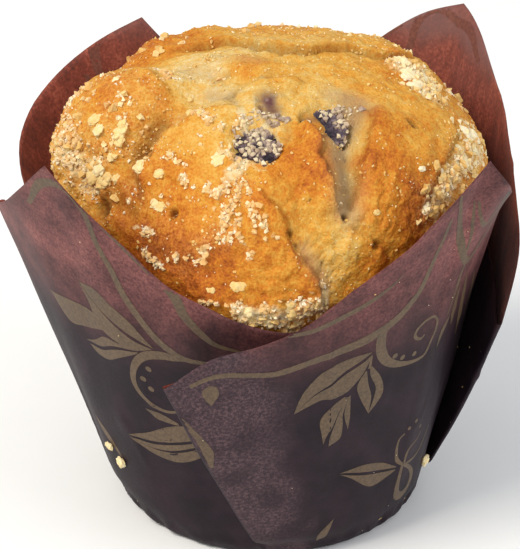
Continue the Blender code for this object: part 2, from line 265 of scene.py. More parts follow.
PETALS = ((FRONT_RIGHT_RISE, FRONT_RIGHT_FALL), (BACK_RIGHT_RISE, BACK_RIGHT_FALL),
          (BACK_LEFT_RISE, BACK_LEFT_FALL), (FRONT_LEFT_RISE, FRONT_LEFT_FALL))
FRONT_RIGHT, BACK_RIGHT, BACK_LEFT, FRONT_LEFT = range(4)

WALL_FOOT = 0.5 * PAPER_SOLID + CORNER * (1.0 - math.sin(WALL_LEAN))
FLAT_RING = DISC_RADIUS + CORNER * (math.pi / 2 - WALL_LEAN)
print("sheet", round(2 * HALF_SHEET / MM), "mm square")

# %% [markdown]
# Each line up the wall also knows where it starts and ends on the unfolded square. That flat place is
# what the print is drawn in: the printer saw a flat sheet, so the scrolls bend and vanish into the
# pleats on their own when the sheet is folded.

# %% Lines up the sheet
RUN_COLUMNS = 34
BEND_COLUMNS = 5
MIDDLE_COLUMNS = 14
BEND_FLAT = 0.5 * MM


def edge_run(points, count):
    """count + 1 places spread evenly along a smooth curve through the hand-set points, and its length."""
    points = np.array(points, dtype=float)
    steps = np.linalg.norm(np.diff(polar(*points[:, :3].T), axis=0), axis=1)
    along = np.concatenate([[0.0], np.cumsum(steps)])
    slope = np.gradient(points, along, axis=0)
    wanted = np.linspace(0.0, along[-1], count + 1)
    piece = np.clip(np.searchsorted(along, wanted, side="right") - 1, 0, len(along) - 2)
    length = (along[piece + 1] - along[piece])[:, None]
    u = (wanted[:, None] - along[piece][:, None]) / length
    places = ((2 * u ** 3 - 3 * u ** 2 + 1) * points[piece] + (u ** 3 - 2 * u ** 2 + u) * length * slope[piece]
              + (3 * u ** 2 - 2 * u ** 3) * points[piece + 1] + (u ** 3 - u ** 2) * length * slope[piece + 1])
    return places, along[-1]


def cone_radius(height):
    """The plain wall's radius, before any flare."""
    return DISC_RADIUS + CORNER * math.cos(WALL_LEAN) + math.tan(WALL_LEAN) * (height - WALL_FOOT)


def on_side(k, place):
    """Flat place on side k of the square, this far along it from its middle."""
    turn = math.radians(-90.0 + 90.0 * k)
    out = HALF_SHEET * np.array([math.cos(turn), math.sin(turn)])
    return out + np.multiply.outer(np.asarray(place, dtype=float), [-math.sin(turn), math.cos(turn)])


RUNS = [(edge_run(rise, RUN_COLUMNS), edge_run(fall, RUN_COLUMNS)) for rise, fall in PETALS]


def side_folds(k):
    """Where the inner and the outer fold of pleat k meet side k of the square."""
    (rise, rise_length), (fall, fall_length) = RUNS[k][0], RUNS[k - 1][1]
    hidden = np.linalg.norm(polar(*fall[-1, :3]) - polar(*rise[0, :3]))
    scale = 2.0 * HALF_SHEET / (rise_length + fall_length + hidden)
    return -HALF_SHEET + fall_length * scale, HALF_SHEET - rise_length * scale


def petal_columns(k):
    """Columns of petal k: foot angle, layer, bend, edge (4 numbers), angle on the ring, flat place."""
    rise, fall = RUNS[k][0][0], RUNS[k][1][0]
    start = PLEAT_ANGLES[k]
    end = PLEAT_ANGLES[(k + 1) % 4] + (360.0 if k == FRONT_LEFT else 0.0)
    half = math.degrees(0.5 * PLEAT_BASE / DISC_RADIUS)
    edge = np.concatenate([rise, fall[1:]])
    q = (edge[:, 0] - edge[0, 0]) / (edge[-1, 0] - edge[0, 0])
    foot = start + (end - start) * q
    outer, inner = side_folds(k)[1], side_folds((k + 1) % 4)[0]
    flat = np.concatenate([on_side(k, np.linspace(outer, HALF_SHEET, RUN_COLUMNS + 1)),
                           on_side(k + 1, np.linspace(-HALF_SHEET, inner, RUN_COLUMNS + 1))[1:]])
    return np.column_stack([foot, 2.0 * (1.0 - q) ** 2, 0.0 * q, edge, foot + half * (1.0 - 2.0 * q), flat])


def pleat_columns(k):
    """Columns of pleat k, from petal k - 1's inner fold round to petal k's outer fold."""
    foot = PLEAT_ANGLES[k] + (360.0 if k == FRONT_RIGHT else 0.0)
    half = math.degrees(0.5 * PLEAT_BASE / DISC_RADIUS)
    inner = np.array(RUNS[k - 1][1][0][-1])
    outer = np.array(RUNS[k][0][0][0])
    outer[0] += 360.0 * round((foot - outer[0]) / 360.0)
    step = FOLD_GAP / MM
    start = polar(*inner[:3]) * (1.0 + step / inner[1] * np.array([1.0, 1.0, 0.0]))
    end = polar(*outer[:3]) * (1.0 - step / outer[1] * np.array([1.0, 1.0, 0.0]))
    from_inner, to_outer = side_folds(k)
    turns = np.linspace(0.0, 1.0, BEND_COLUMNS + 1)[1:-1]
    made = [(0.5 - 0.5 * math.cos(math.pi * u), math.sin(math.pi * u), inner, 0.0, from_inner + BEND_FLAT * u)
            for u in turns]
    for u in np.linspace(0.0, 1.0, MIDDLE_COLUMNS + 1):
        place = start * (1.0 - u) + end * u
        edge = np.array([math.degrees(math.atan2(place[1], place[0])),
                         math.hypot(place[0], place[1]) + MIDDLE_BULGE * 4.0 * u * (1.0 - u), place[2], 0.0])
        edge[0] += 360.0 * round((foot - edge[0]) / 360.0)
        made.append((1.0, 0.0, edge, 1.0,
                     from_inner + BEND_FLAT + (to_outer - from_inner - 2.0 * BEND_FLAT) * u))
    made += [(1.5 - 0.5 * math.cos(math.pi * u), -math.sin(math.pi * u), outer, 2.0, to_outer - BEND_FLAT * (1 - u))
             for u in turns]
    columns = []
    for i, (layer, bend, edge, level, flat) in enumerate(made):
        edge = np.array(edge, dtype=float)
        edge[1] += (layer - level) * step
        ring = foot + half * (2.0 * (i + 1.0) / (len(made) + 1.0) - 1.0)
        columns.append((foot, layer, bend, *edge, ring, *on_side(k, flat)))
    return np.array(columns)


column_blocks = []
for petal in range(4):
    column_blocks += [petal_columns(petal), pleat_columns((petal + 1) % 4)]
COLUMNS = np.concatenate(column_blocks)
PETAL_FIRST = np.cumsum([0] + [len(block) for block in column_blocks])[::2]
PETAL_WIDTH = 2 * RUN_COLUMNS + 1
print(len(COLUMNS), "lines up the sheet")

# %% [markdown]
# The rows of the grid run out over the disc, round its pressed corner and up the wall. The bare folded
# shape is too perfect, so the paper is then crinkled: the press leaves small crimps round the base, the
# wall has soft upright dents, and the free petals wave a little. The crinkle depends only on the place
# in space, so that the layers of a pleat move together and never cut through each other.

# %% Grid of the sheet
DISC_ROWS = 7
CORNER_ROWS = 6
WALL_ROWS = 62


def wall_grid(columns, t):
    """Points and flat places up the wall, from t = 0 at its foot to t = 1 on the sheet's edge."""
    t = np.asarray(t)[None, :]
    foot, layer, bend, angle, radius, height, belly, ring, flat_x, flat_y = [c[:, None] for c in columns.T]
    radius, height, belly = radius * MM, height * MM, belly * MM
    foot_radius = cone_radius(WALL_FOOT) + layer * FOLD_GAP
    start = polar(foot[:, 0], foot_radius[:, 0], WALL_FOOT)[:, None, :]
    end = polar(angle[:, 0], radius[:, 0], height[:, 0])[:, None, :]
    line = start * (1.0 - t[..., None]) + end * t[..., None]
    reach = foot_radius * (1.0 - t) + radius * t + belly * BELLY_PEAK * t * t * (1.0 - t)
    line[..., :2] *= (reach / np.hypot(line[..., 0], line[..., 1]))[..., None]
    across = np.radians(foot[:, 0])
    side = np.stack([-np.sin(across), np.cos(across), 0.0 * across], -1)[:, None, :]
    line = line + side * bend[..., None] * 0.5 * FOLD_GAP
    plain_height = WALL_FOOT + (height - WALL_FOOT) * t
    plain = polar(ring + 0.0 * t, cone_radius(plain_height), plain_height)
    points = plain + (line - plain) * smooth_step(t / PLEAT_START)[..., None]
    flat_foot = FLAT_RING * np.stack([np.cos(np.radians(ring)), np.sin(np.radians(ring))], -1)
    flat_edge = np.stack([flat_x, flat_y], -1)
    return points, flat_foot * (1.0 - t[..., None]) + flat_edge * t[..., None]


def disc_grid(columns):
    """Points from near the disc's middle out and round the pressed corner."""
    ring = columns[:, 7][:, None]
    radii = DISC_RADIUS * np.linspace(0.0, 1.0, DISC_ROWS + 1)[1:-1]
    turns = np.linspace(0.0, math.pi / 2 - WALL_LEAN, CORNER_ROWS + 1)[:-1]
    disc = polar(ring + 0.0 * radii, radii[None, :], 0.5 * PAPER_SOLID)
    corner = polar(ring + 0.0 * turns, (DISC_RADIUS + CORNER * np.sin(turns))[None, :],
                   0.5 * PAPER_SOLID + (CORNER * (1.0 - np.cos(turns)))[None, :])
    return np.concatenate([disc, corner], axis=1)


def grid_normals(points):
    """Outward unit normals of a grid that closes on itself from its last column to its first."""
    around = np.roll(points, -1, axis=0) - np.roll(points, 1, axis=0)
    up = np.gradient(points, axis=1)
    out = np.cross(around, up)
    return out / np.maximum(np.linalg.norm(out, axis=-1, keepdims=True), 1e-12)


def crinkle(points, t):
    """How far the paper stands off its bare shape, in metres; t is negative under the wall."""
    turn = np.arctan2(points[..., 1], points[..., 0])
    around = np.stack([np.cos(turn), np.sin(turn), 0.0 * turn], -1)
    lift = points[..., 2:3]
    upright = noise_at(around * 34.0 * MM + lift * np.array([0.0, 0.0, 0.22]), 7.0, 1)
    broad = noise_at(points, 16.0, 2)
    lines = noise_at(around * 36.0 * MM + lift * np.array([0.10, -0.16, 0.20]), 8.0, 4)
    crease = np.exp(-(lines / 0.045) ** 2) * smooth_step((noise_at(points, 18.0, 7) + 0.1) / 0.3)
    crimp = np.abs(noise_at(around * 27.0 * MM + lift * np.array([0.3, -0.2, 0.5]), 2.6, 3))
    base = np.exp(-((points[..., 2] - 1.2 * MM) / (2.8 * MM)) ** 2) * smooth_step((t + 0.10) / 0.08)
    wall = smooth_step(t / 0.2)
    return MM * (wall * (0.10 + 0.34 * upright + 0.30 * broad + 0.20 * crease) - 1.0 * base * crimp)


t_wall = np.linspace(0.0, 1.0, WALL_ROWS + 1)
wall_points, wall_flat = wall_grid(COLUMNS, t_wall)
disc_points = disc_grid(COLUMNS)
DISC_COUNT = disc_points.shape[1]
bare = np.concatenate([disc_points, wall_points], axis=1)
row_t = np.concatenate([np.linspace(-0.3, -0.01, DISC_COUNT), t_wall])[None, :] + np.zeros((len(COLUMNS), 1))
push = crinkle(bare, row_t) + 0.5 * PAPER_SOLID
sheet_points = bare + grid_normals(bare) * push[..., None]
sheet_points[..., 2] = np.maximum(sheet_points[..., 2], 0.0)
sheet_normals = grid_normals(sheet_points)
print("sheet grid", sheet_points.shape[:2])

# %% [markdown]
# ## Paper and ink
# Greaseproof paper is dense, dyed and calendered: matt with a faint grey sheen at glancing angles and a
# fine fibre mottle about half a millimetre across. Where only paper stands in the light, its red-brown is
# painted into the colour as painted backlight, and the flap by the front fold is rubbed and speckled. The
# print is a flat gold ink that is duller than metal, so it gets no metallic value; near the case's right
# edge the ink is darkened as painted shade.

# %% Paper materials
FIBRE = 0.55      # mm, fibre clumps that show as speckle
CLOUD = 7.0       # mm, uneven dye

paper_out, tree, shader = new_material(
    "greaseproof paper, dyed brown", {"IOR": 1.47, "Sheen Weight": 0.02, "Sheen Roughness": 0.4,
                                      "Sheen Tint": linear("#c8bcc0"), "Specular IOR Level": 0.20})
where = add(tree, "ShaderNodeTexCoord").outputs["Object"]
painted_backlight = add(tree, "ShaderNodeAttribute", attribute_name="painted_backlight").outputs["Fac"]
scuff = add(tree, "ShaderNodeAttribute", attribute_name="scuff").outputs["Fac"]
cloud = add(tree, "ShaderNodeTexNoise", {"Vector": where, "Scale": per_metre(CLOUD), "Detail": 5.0,
                                         "Roughness": 0.6})
fibre = add(tree, "ShaderNodeTexNoise", {"Vector": where, "Scale": per_metre(FIBRE), "Detail": 3.0,
                                         "Roughness": 0.75})
dye = add(tree, "ShaderNodeValToRGB", {"Fac": cloud.outputs["Fac"]})
dye.color_ramp.elements[0].position, dye.color_ramp.elements[0].color = 0.32, linear("#160c15")
dye.color_ramp.elements[1].position, dye.color_ramp.elements[1].color = 0.70, linear("#2b1b24")
dye.color_ramp.elements.new(0.50).color = linear("#1f121b")
# Painted backlight: this lit tone is the red-brown that light shining through the paper would give, painted into the
# colour.
lit = add(tree, "ShaderNodeValToRGB", {"Fac": fibre.outputs["Fac"]})
lit.color_ramp.elements[0].position, lit.color_ramp.elements[0].color = 0.36, linear("#703f3f")
lit.color_ramp.elements[1].position, lit.color_ramp.elements[1].color = 0.66, linear("#a66a62")
rubbed = add(tree, "ShaderNodeValToRGB", {"Fac": fibre.outputs["Fac"]})
rubbed.color_ramp.elements[0].position, rubbed.color_ramp.elements[0].color = 0.36, linear("#2f2228")
rubbed.color_ramp.elements[1].position, rubbed.color_ramp.elements[1].color = 0.68, linear("#654d50")
rubbed.color_ramp.elements.new(0.50).color = linear("#443238")
patches = add(tree, "ShaderNodeMath", {0: cloud.outputs["Fac"], 1: 1.5, 2: -0.22}, operation="MULTIPLY_ADD",
              use_clamp=True)
painted_backlight_share = add(tree, "ShaderNodeMath", {0: painted_backlight, 1: patches.outputs[0]}, operation="MULTIPLY")
dye_with_painted_backlight = add(tree, "ShaderNodeMix", {0: painted_backlight_share.outputs[0], 6: dye.outputs["Color"], 7: lit.outputs["Color"]},
           data_type="RGBA")
# Real rubbed wear on the flap, mixed over the dye and its painted backlight.
wear_and_painted_light = add(tree, "ShaderNodeMix", {0: scuff, 6: dye_with_painted_backlight.outputs[2], 7: rubbed.outputs["Color"]}, data_type="RGBA")
tree.links.new(wear_and_painted_light.outputs[2], shader.inputs["Base Color"])
matt = add(tree, "ShaderNodeMapRange", {"Value": fibre.outputs["Fac"], "To Min": 0.46, "To Max": 0.66})
tree.links.new(matt.outputs["Result"], shader.inputs["Roughness"])
relief = add(tree, "ShaderNodeBump", {"Height": fibre.outputs["Fac"], "Strength": 0.4, "Distance": 0.07 * MM})
tree.links.new(relief.outputs["Normal"], shader.inputs["Normal"])

paper_in, tree, shader = new_material(
    "greaseproof paper, inner face", {"IOR": 1.47, "Sheen Weight": 0.08, "Specular IOR Level": 0.3})
where = add(tree, "ShaderNodeTexCoord").outputs["Object"]
streaky = add(tree, "ShaderNodeVectorMath", {0: where, 1: (1.0, 1.0, 0.35)}, operation="MULTIPLY")
cloud = add(tree, "ShaderNodeTexNoise", {"Vector": streaky.outputs[0], "Scale": per_metre(2.6), "Detail": 6.0,
                                         "Roughness": 0.62})
fibre = add(tree, "ShaderNodeTexNoise", {"Vector": where, "Scale": per_metre(FIBRE), "Detail": 3.0})
mixed = add(tree, "ShaderNodeMath", {0: cloud.outputs["Fac"], 1: fibre.outputs["Fac"]}, operation="ADD")
halved = add(tree, "ShaderNodeMath", {0: mixed.outputs[0], 1: 0.5}, operation="MULTIPLY")
red = add(tree, "ShaderNodeValToRGB", {"Fac": halved.outputs[0]})
red.color_ramp.elements[0].position, red.color_ramp.elements[0].color = 0.34, linear("#5a2b20")
red.color_ramp.elements[1].position, red.color_ramp.elements[1].color = 0.66, linear("#a05542")
middle_red = red.color_ramp.elements.new(0.50)
middle_red.color = linear("#7d3b2c")
# The inner face turns greyer toward the petal tips wherever the stored field is high.
grey_toward_tips = add(tree, "ShaderNodeAttribute", attribute_name="grey_toward_tips").outputs["Fac"]
greyed = add(tree, "ShaderNodeMix", {0: grey_toward_tips, 6: red.outputs["Color"], 7: linear("#7b5b57")}, data_type="RGBA")
tree.links.new(greyed.outputs[2], shader.inputs["Base Color"])
matt = add(tree, "ShaderNodeMapRange", {"Value": fibre.outputs["Fac"], "To Min": 0.5, "To Max": 0.7})
tree.links.new(matt.outputs["Result"], shader.inputs["Roughness"])
relief = add(tree, "ShaderNodeBump", {"Height": mixed.outputs[0], "Strength": 0.4, "Distance": 0.08 * MM})
tree.links.new(relief.outputs["Normal"], shader.inputs["Normal"])
print("two paper materials")

# %% Ink materials
def ink_material(name, low, high):
    """A flat print ink between two tones, with the paper's fibres showing in it, darkened toward a dark grey-brown as
    painted shade where the stored field says.
    """
    made, tree, shader = new_material(name, {"IOR": 1.5, "Specular IOR Level": 0.35})
    where = add(tree, "ShaderNodeTexCoord").outputs["Object"]
    fibre = add(tree, "ShaderNodeTexNoise", {"Vector": where, "Scale": per_metre(FIBRE), "Detail": 3.0})
    tone = add(tree, "ShaderNodeValToRGB", {"Fac": fibre.outputs["Fac"]})
    tone.color_ramp.elements[0].position, tone.color_ramp.elements[0].color = 0.34, linear(low)
    tone.color_ramp.elements[1].position, tone.color_ramp.elements[1].color = 0.66, linear(high)
    # Painted shade: the ink is mixed toward a dark grey-brown where the stored field is high, at the case's right edge.
    wear_and_painted_light = add(tree, "ShaderNodeAttribute", attribute_name="wear_and_painted_light").outputs["Fac"]
    shaded_ink = add(tree, "ShaderNodeMix", {0: wear_and_painted_light, 6: tone.outputs["Color"], 7: linear("#3a3230")}, data_type="RGBA")
    tree.links.new(shaded_ink.outputs[2], shader.inputs["Base Color"])
    matt = add(tree, "ShaderNodeMapRange", {"Value": fibre.outputs["Fac"], "To Min": 0.45, "To Max": 0.62})
    tree.links.new(matt.outputs["Result"], shader.inputs["Roughness"])
    return made


gold_ink = ink_material("gold print ink", "#4f3f2f", "#66523c")
show_through = ink_material("print showing through the paper", "#66392f", "#7d4a3c")
print("two ink materials")

# %% Paper case
def painted_backlight_of(points):
    """Painted backlight: the red-brown of light coming through bare paper, painted near the free edges, strongest on
    the front left petal.
    """
    height = smooth_step((points[..., 2] - 38.0 * MM) / (26.0 * MM))
    # How much painted backlight each petal gets follows where the light falls: most on the front left.
    shown = np.full(points.shape[:2], 0.85)
    first = PETAL_FIRST[FRONT_LEFT]
    shown[first:first + PETAL_WIDTH] = 1.15
    right = PETAL_FIRST[FRONT_RIGHT]
    shown[right:right + PETAL_WIDTH] = 1.0
    patch = 0.5 + 0.5 * noise_at(points, 9.0, 5)
    return np.clip(height * shown * (0.6 + 0.7 * patch), 0.0, 1.0)


def scuff_of(points, flat):
    """Rubbed, speckled paper on the flap beside the front fold, with a few darker patches left."""
    first = PETAL_FIRST[FRONT_RIGHT]
    foot, edge = flat[first, DISC_COUNT], flat[first, -1]
    along = (edge - foot) / np.linalg.norm(edge - foot)
    away = flat - foot
    distance = np.abs(away[..., 0] * along[1] - away[..., 1] * along[0])
    climb = np.clip((away @ along) / np.linalg.norm(edge - foot), 0.0, 1.0)
    wobble = noise_at(points, 6.0, 6)
    reach = (4.0 + 9.0 * climb + 4.0 * wobble) * MM
    inside = 1.0 - smooth_step((distance - reach) / (8.0 * MM))
    dark = smooth_step((noise_at(points, 6.0, 8) - 0.05) / 0.35)
    wear_and_painted_light = inside * (1.0 - 0.55 * dark)
    shown = np.zeros(points.shape[:2])
    shown[first:first + PETAL_WIDTH] = 1.0
    return wear_and_painted_light * shown


def grey_toward_tips_of(points):
    """Greyer paper on the inner face: toward the back right tip in two curved bands, and at the left tip."""
    grey = np.zeros(points.shape[:2])
    for petal, low, high, amount in ((BACK_RIGHT, 66.0, 80.0, 0.75), (BACK_LEFT, 68.0, 80.0, 0.40)):
        rows_here = slice(PETAL_FIRST[petal], PETAL_FIRST[petal] + PETAL_WIDTH)
        lift = points[rows_here, :, 2] + 3.0 * MM * noise_at(points[rows_here], 8.0, 93)
        bands_here = 0.65 + 0.35 * np.sin(lift / (1.5 * MM))
        grey[rows_here] = amount * smooth_step((lift - low * MM) / ((high - low) * MM)) * bands_here
    return grey


flat_all = np.concatenate([sheet_points[:, :DISC_COUNT, :2], wall_flat], axis=1)
columns, rows = sheet_points.shape[:2]
centre = np.array([[0.0, 0.0, 0.0]])
all_points = np.concatenate([sheet_points.reshape(-1, 3), centre])
index = np.arange(columns * rows).reshape(columns, rows)
after = np.roll(index, -1, axis=0)
quads = np.stack([index[:, :-1], after[:, :-1], after[:, 1:], index[:, 1:]], -1).reshape(-1, 4)
fan = np.stack([np.full(columns, columns * rows), after[:, 0], index[:, 0]], -1)
case = mesh_object("case", all_points, [*quads, *fan], [paper_out, paper_in])
store(case, "painted_backlight", np.append(painted_backlight_of(sheet_points), 0.0))
store(case, "scuff", np.append(scuff_of(sheet_points, flat_all), 0.0))
store(case, "grey_toward_tips", np.append(grey_toward_tips_of(sheet_points), 0.0))
thickness = case.modifiers.new("paper thickness", "SOLIDIFY")
thickness.thickness = PAPER_SHOWN
thickness.offset = -1.0
thickness.material_offset = 1
print("paper case", triangles(case), "triangles on its outer face")

# %% [markdown]
# ## The scroll print
# The print is a traditional floral scroll: long tapering stems that end in hooks, split leaves in fans,
# teardrops and rows of dots. Each motif is drawn flat, in millimetres, on axes that run from the middle
# of the sheet out to a petal's tip (u) and across it (v). A stem is a ribbon along a curve, and a leaf
# is a ribbon whose width swells and closes. Every point is then looked up on the folded sheet and lifted
# by a few hundredths of a millimetre, so the ink is real geometry that follows every dent.

# %% Flat motifs
STEP = 0.45        # mm between the rows of a ribbon
ACROSS = 0.8       # mm between its columns, at most


def ribbon(spine, left, right):
    """A grid of flat points between two offsets from a spine."""
    along = np.gradient(spine, axis=0)
    along /= np.linalg.norm(along, axis=1, keepdims=True)
    side = np.stack([-along[:, 1], along[:, 0]], 1)
    count = max(2, int(math.ceil(np.max(np.abs(left - right)) / ACROSS)) + 1)
    share = np.linspace(0.0, 1.0, count)
    offset = left[:, None] * (1.0 - share) + right[:, None] * share
    return spine[:, None, :] + side[:, None, :] * offset[..., None]


def stem(points, *widths):
    """A ribbon along a smooth curve; its widths are spread evenly from start to end."""
    spine, share = smooth_curve(points, STEP)
    half = 0.5 * np.interp(share, np.linspace(0.0, 1.0, len(widths)), widths)
    return [ribbon(spine, half, -half)]


def blade(one, other):
    """A leaf half between two edge curves that both run from its tip to its base."""
    longest = max(len(smooth_curve(edge, STEP)[0]) for edge in (one, other))
    edges = []
    for edge in (one, other):
        curve, share = smooth_curve(edge, 0.5 * STEP)
        wanted = np.linspace(0.0, 1.0, longest)
        edges.append(np.stack([np.interp(wanted, share, curve[:, i]) for i in (0, 1)], 1))
    widest = np.max(np.linalg.norm(edges[0] - edges[1], axis=1))
    across = np.linspace(0.0, 1.0, max(2, int(math.ceil(widest / ACROSS)) + 1))[None, :, None]
    return [edges[0][:, None, :] * (1.0 - across) + edges[1][:, None, :] * across]


def dot(place, radius):
    """A round dot as a short fat ribbon."""
    share = np.linspace(-1.0, 1.0, 9)
    spine = np.array(place) + np.stack([share * radius, 0.0 * share], 1)
    half = radius * np.sqrt(np.maximum(1.0 - share ** 2, 0.0)) + 0.01
    return [ribbon(spine, half, -half)]


HOOK_PETAL = [
    *stem([(97.2, -8.2), (99, -6.7), (101.5, -5), (104.2, -2.4), (105.6, 0.8), (105, 4), (101.3, 6.5), (95.1, 7),
           (89.4, 8.5), (85, 9.3), (81.4, 10.8), (77.3, 13.3), (74, 16.3), (72.1, 18.9), (70.8, 23)],
          0.8, 1.6, 1.4, 1.3, 1.4, 1.7, 1.5, 0.7),
    *stem([(99.5, 9.2), (97, 11.8), (94.3, 14.2), (91.2, 17.2)], 0.4, 1.2, 1.3, 0.8),
    *stem([(88.4, 20.1), (86.4, 20.7), (84.5, 20.9), (82.2, 21.2), (78.5, 22.5), (75.3, 24.4), (72.8, 28)],
          2.1, 1.8, 1.5, 1.3, 0.9, 0.4),
    *blade([(82.9, -2.7), (83.2, 2.0), (81.1, 5.2), (78.6, 8.7), (76.4, 10.6), (73.8, 12.8)],
           [(82.9, -2.7), (79.3, 1.0), (76.8, 5.3), (75.1, 8.9), (73.9, 12.5)]),
    *blade([(82.7, -2.8), (79.2, 0.9), (76.4, 4.9), (74.4, 8.5), (73.6, 12.3)],
           [(82.7, -2.8), (79.5, -1.4), (76.3, -0.9), (74.2, -0.3), (72.5, 4.0), (72.3, 8.6), (73.4, 12.2)]),
    *blade([(74.8, -12.6), (76.5, -6.7), (76.8, -1.3), (75.0, 2.2)],
           [(74.8, -12.6), (70.4, -9.1), (71.5, -5.1), (73.3, -0.2), (74.2, 2.0)]),
    *blade([(68.1, -5.8), (69.8, -2.8), (72.1, 0.6), (72.3, 4.6), (72.4, 9.0)],
           [(68.1, -5.8), (68.9, -1.6), (70.6, 1.8), (71.5, 4.6), (72.2, 9.0)]),
    *blade([(67.6, -5.1), (68.3, -1.2), (69.9, 2.0), (71.0, 4.8), (71.9, 8.8)],
           [(67.6, -5.1), (66.4, -3.6), (66.6, -0.2), (69.0, 4.0), (71.5, 8.6)]),
    *stem([(72.4, 18.6), (72.5, 16.2), (72.6, 13.8), (71.6, 10.4), (69.3, 7.7), (65.8, 5.8), (62.9, 5.7),
           (60.7, 7.3), (59.3, 10), (59.2, 12.5), (60.5, 17)], 1.2, 1.9, 1.7, 1.4, 1.2, 0.9, 0.6, 0.5),
    *dot((68.6, 10.2), 0.62), *dot((65.8, 8.2), 0.62), *dot((63.8, 9.3), 0.62),
    *blade([(58.4, 6.3), (58.3, 9.6), (56.6, 12.8)], [(58.4, 6.3), (56.7, 9.0), (56.0, 12.8)]),
    *blade([(49.8, -0.4), (52.4, 5.0), (55.3, 10.3), (56, 15), (54, 19)],
           [(49.8, -0.4), (50.6, 5.4), (51.7, 10.6), (52.6, 14.6), (53.4, 19)]),
    *blade([(49.4, -0.2), (50.0, 5.6), (51.1, 10.8), (52.0, 14.8), (52.8, 19)],
           [(49.4, -0.2), (48.9, 4.4), (49.3, 9.0), (50.6, 13.5), (52.3, 19)]),
    *blade([(49.4, -0.2), (48.8, 4.4), (48.9, 9.0), (50.0, 13.5), (52.0, 19)],
           [(49.4, -0.2), (47.9, 3.6), (46.9, 7.5), (46.8, 10.4), (48.2, 14.5), (51.6, 19)]),
    *blade([(46.4, -11.6), (44.8, -8.6), (42, -6.3), (40, -5)], [(46.4, -11.6), (43.4, -10.2), (41.2, -7.2), (40, -5)]),
]
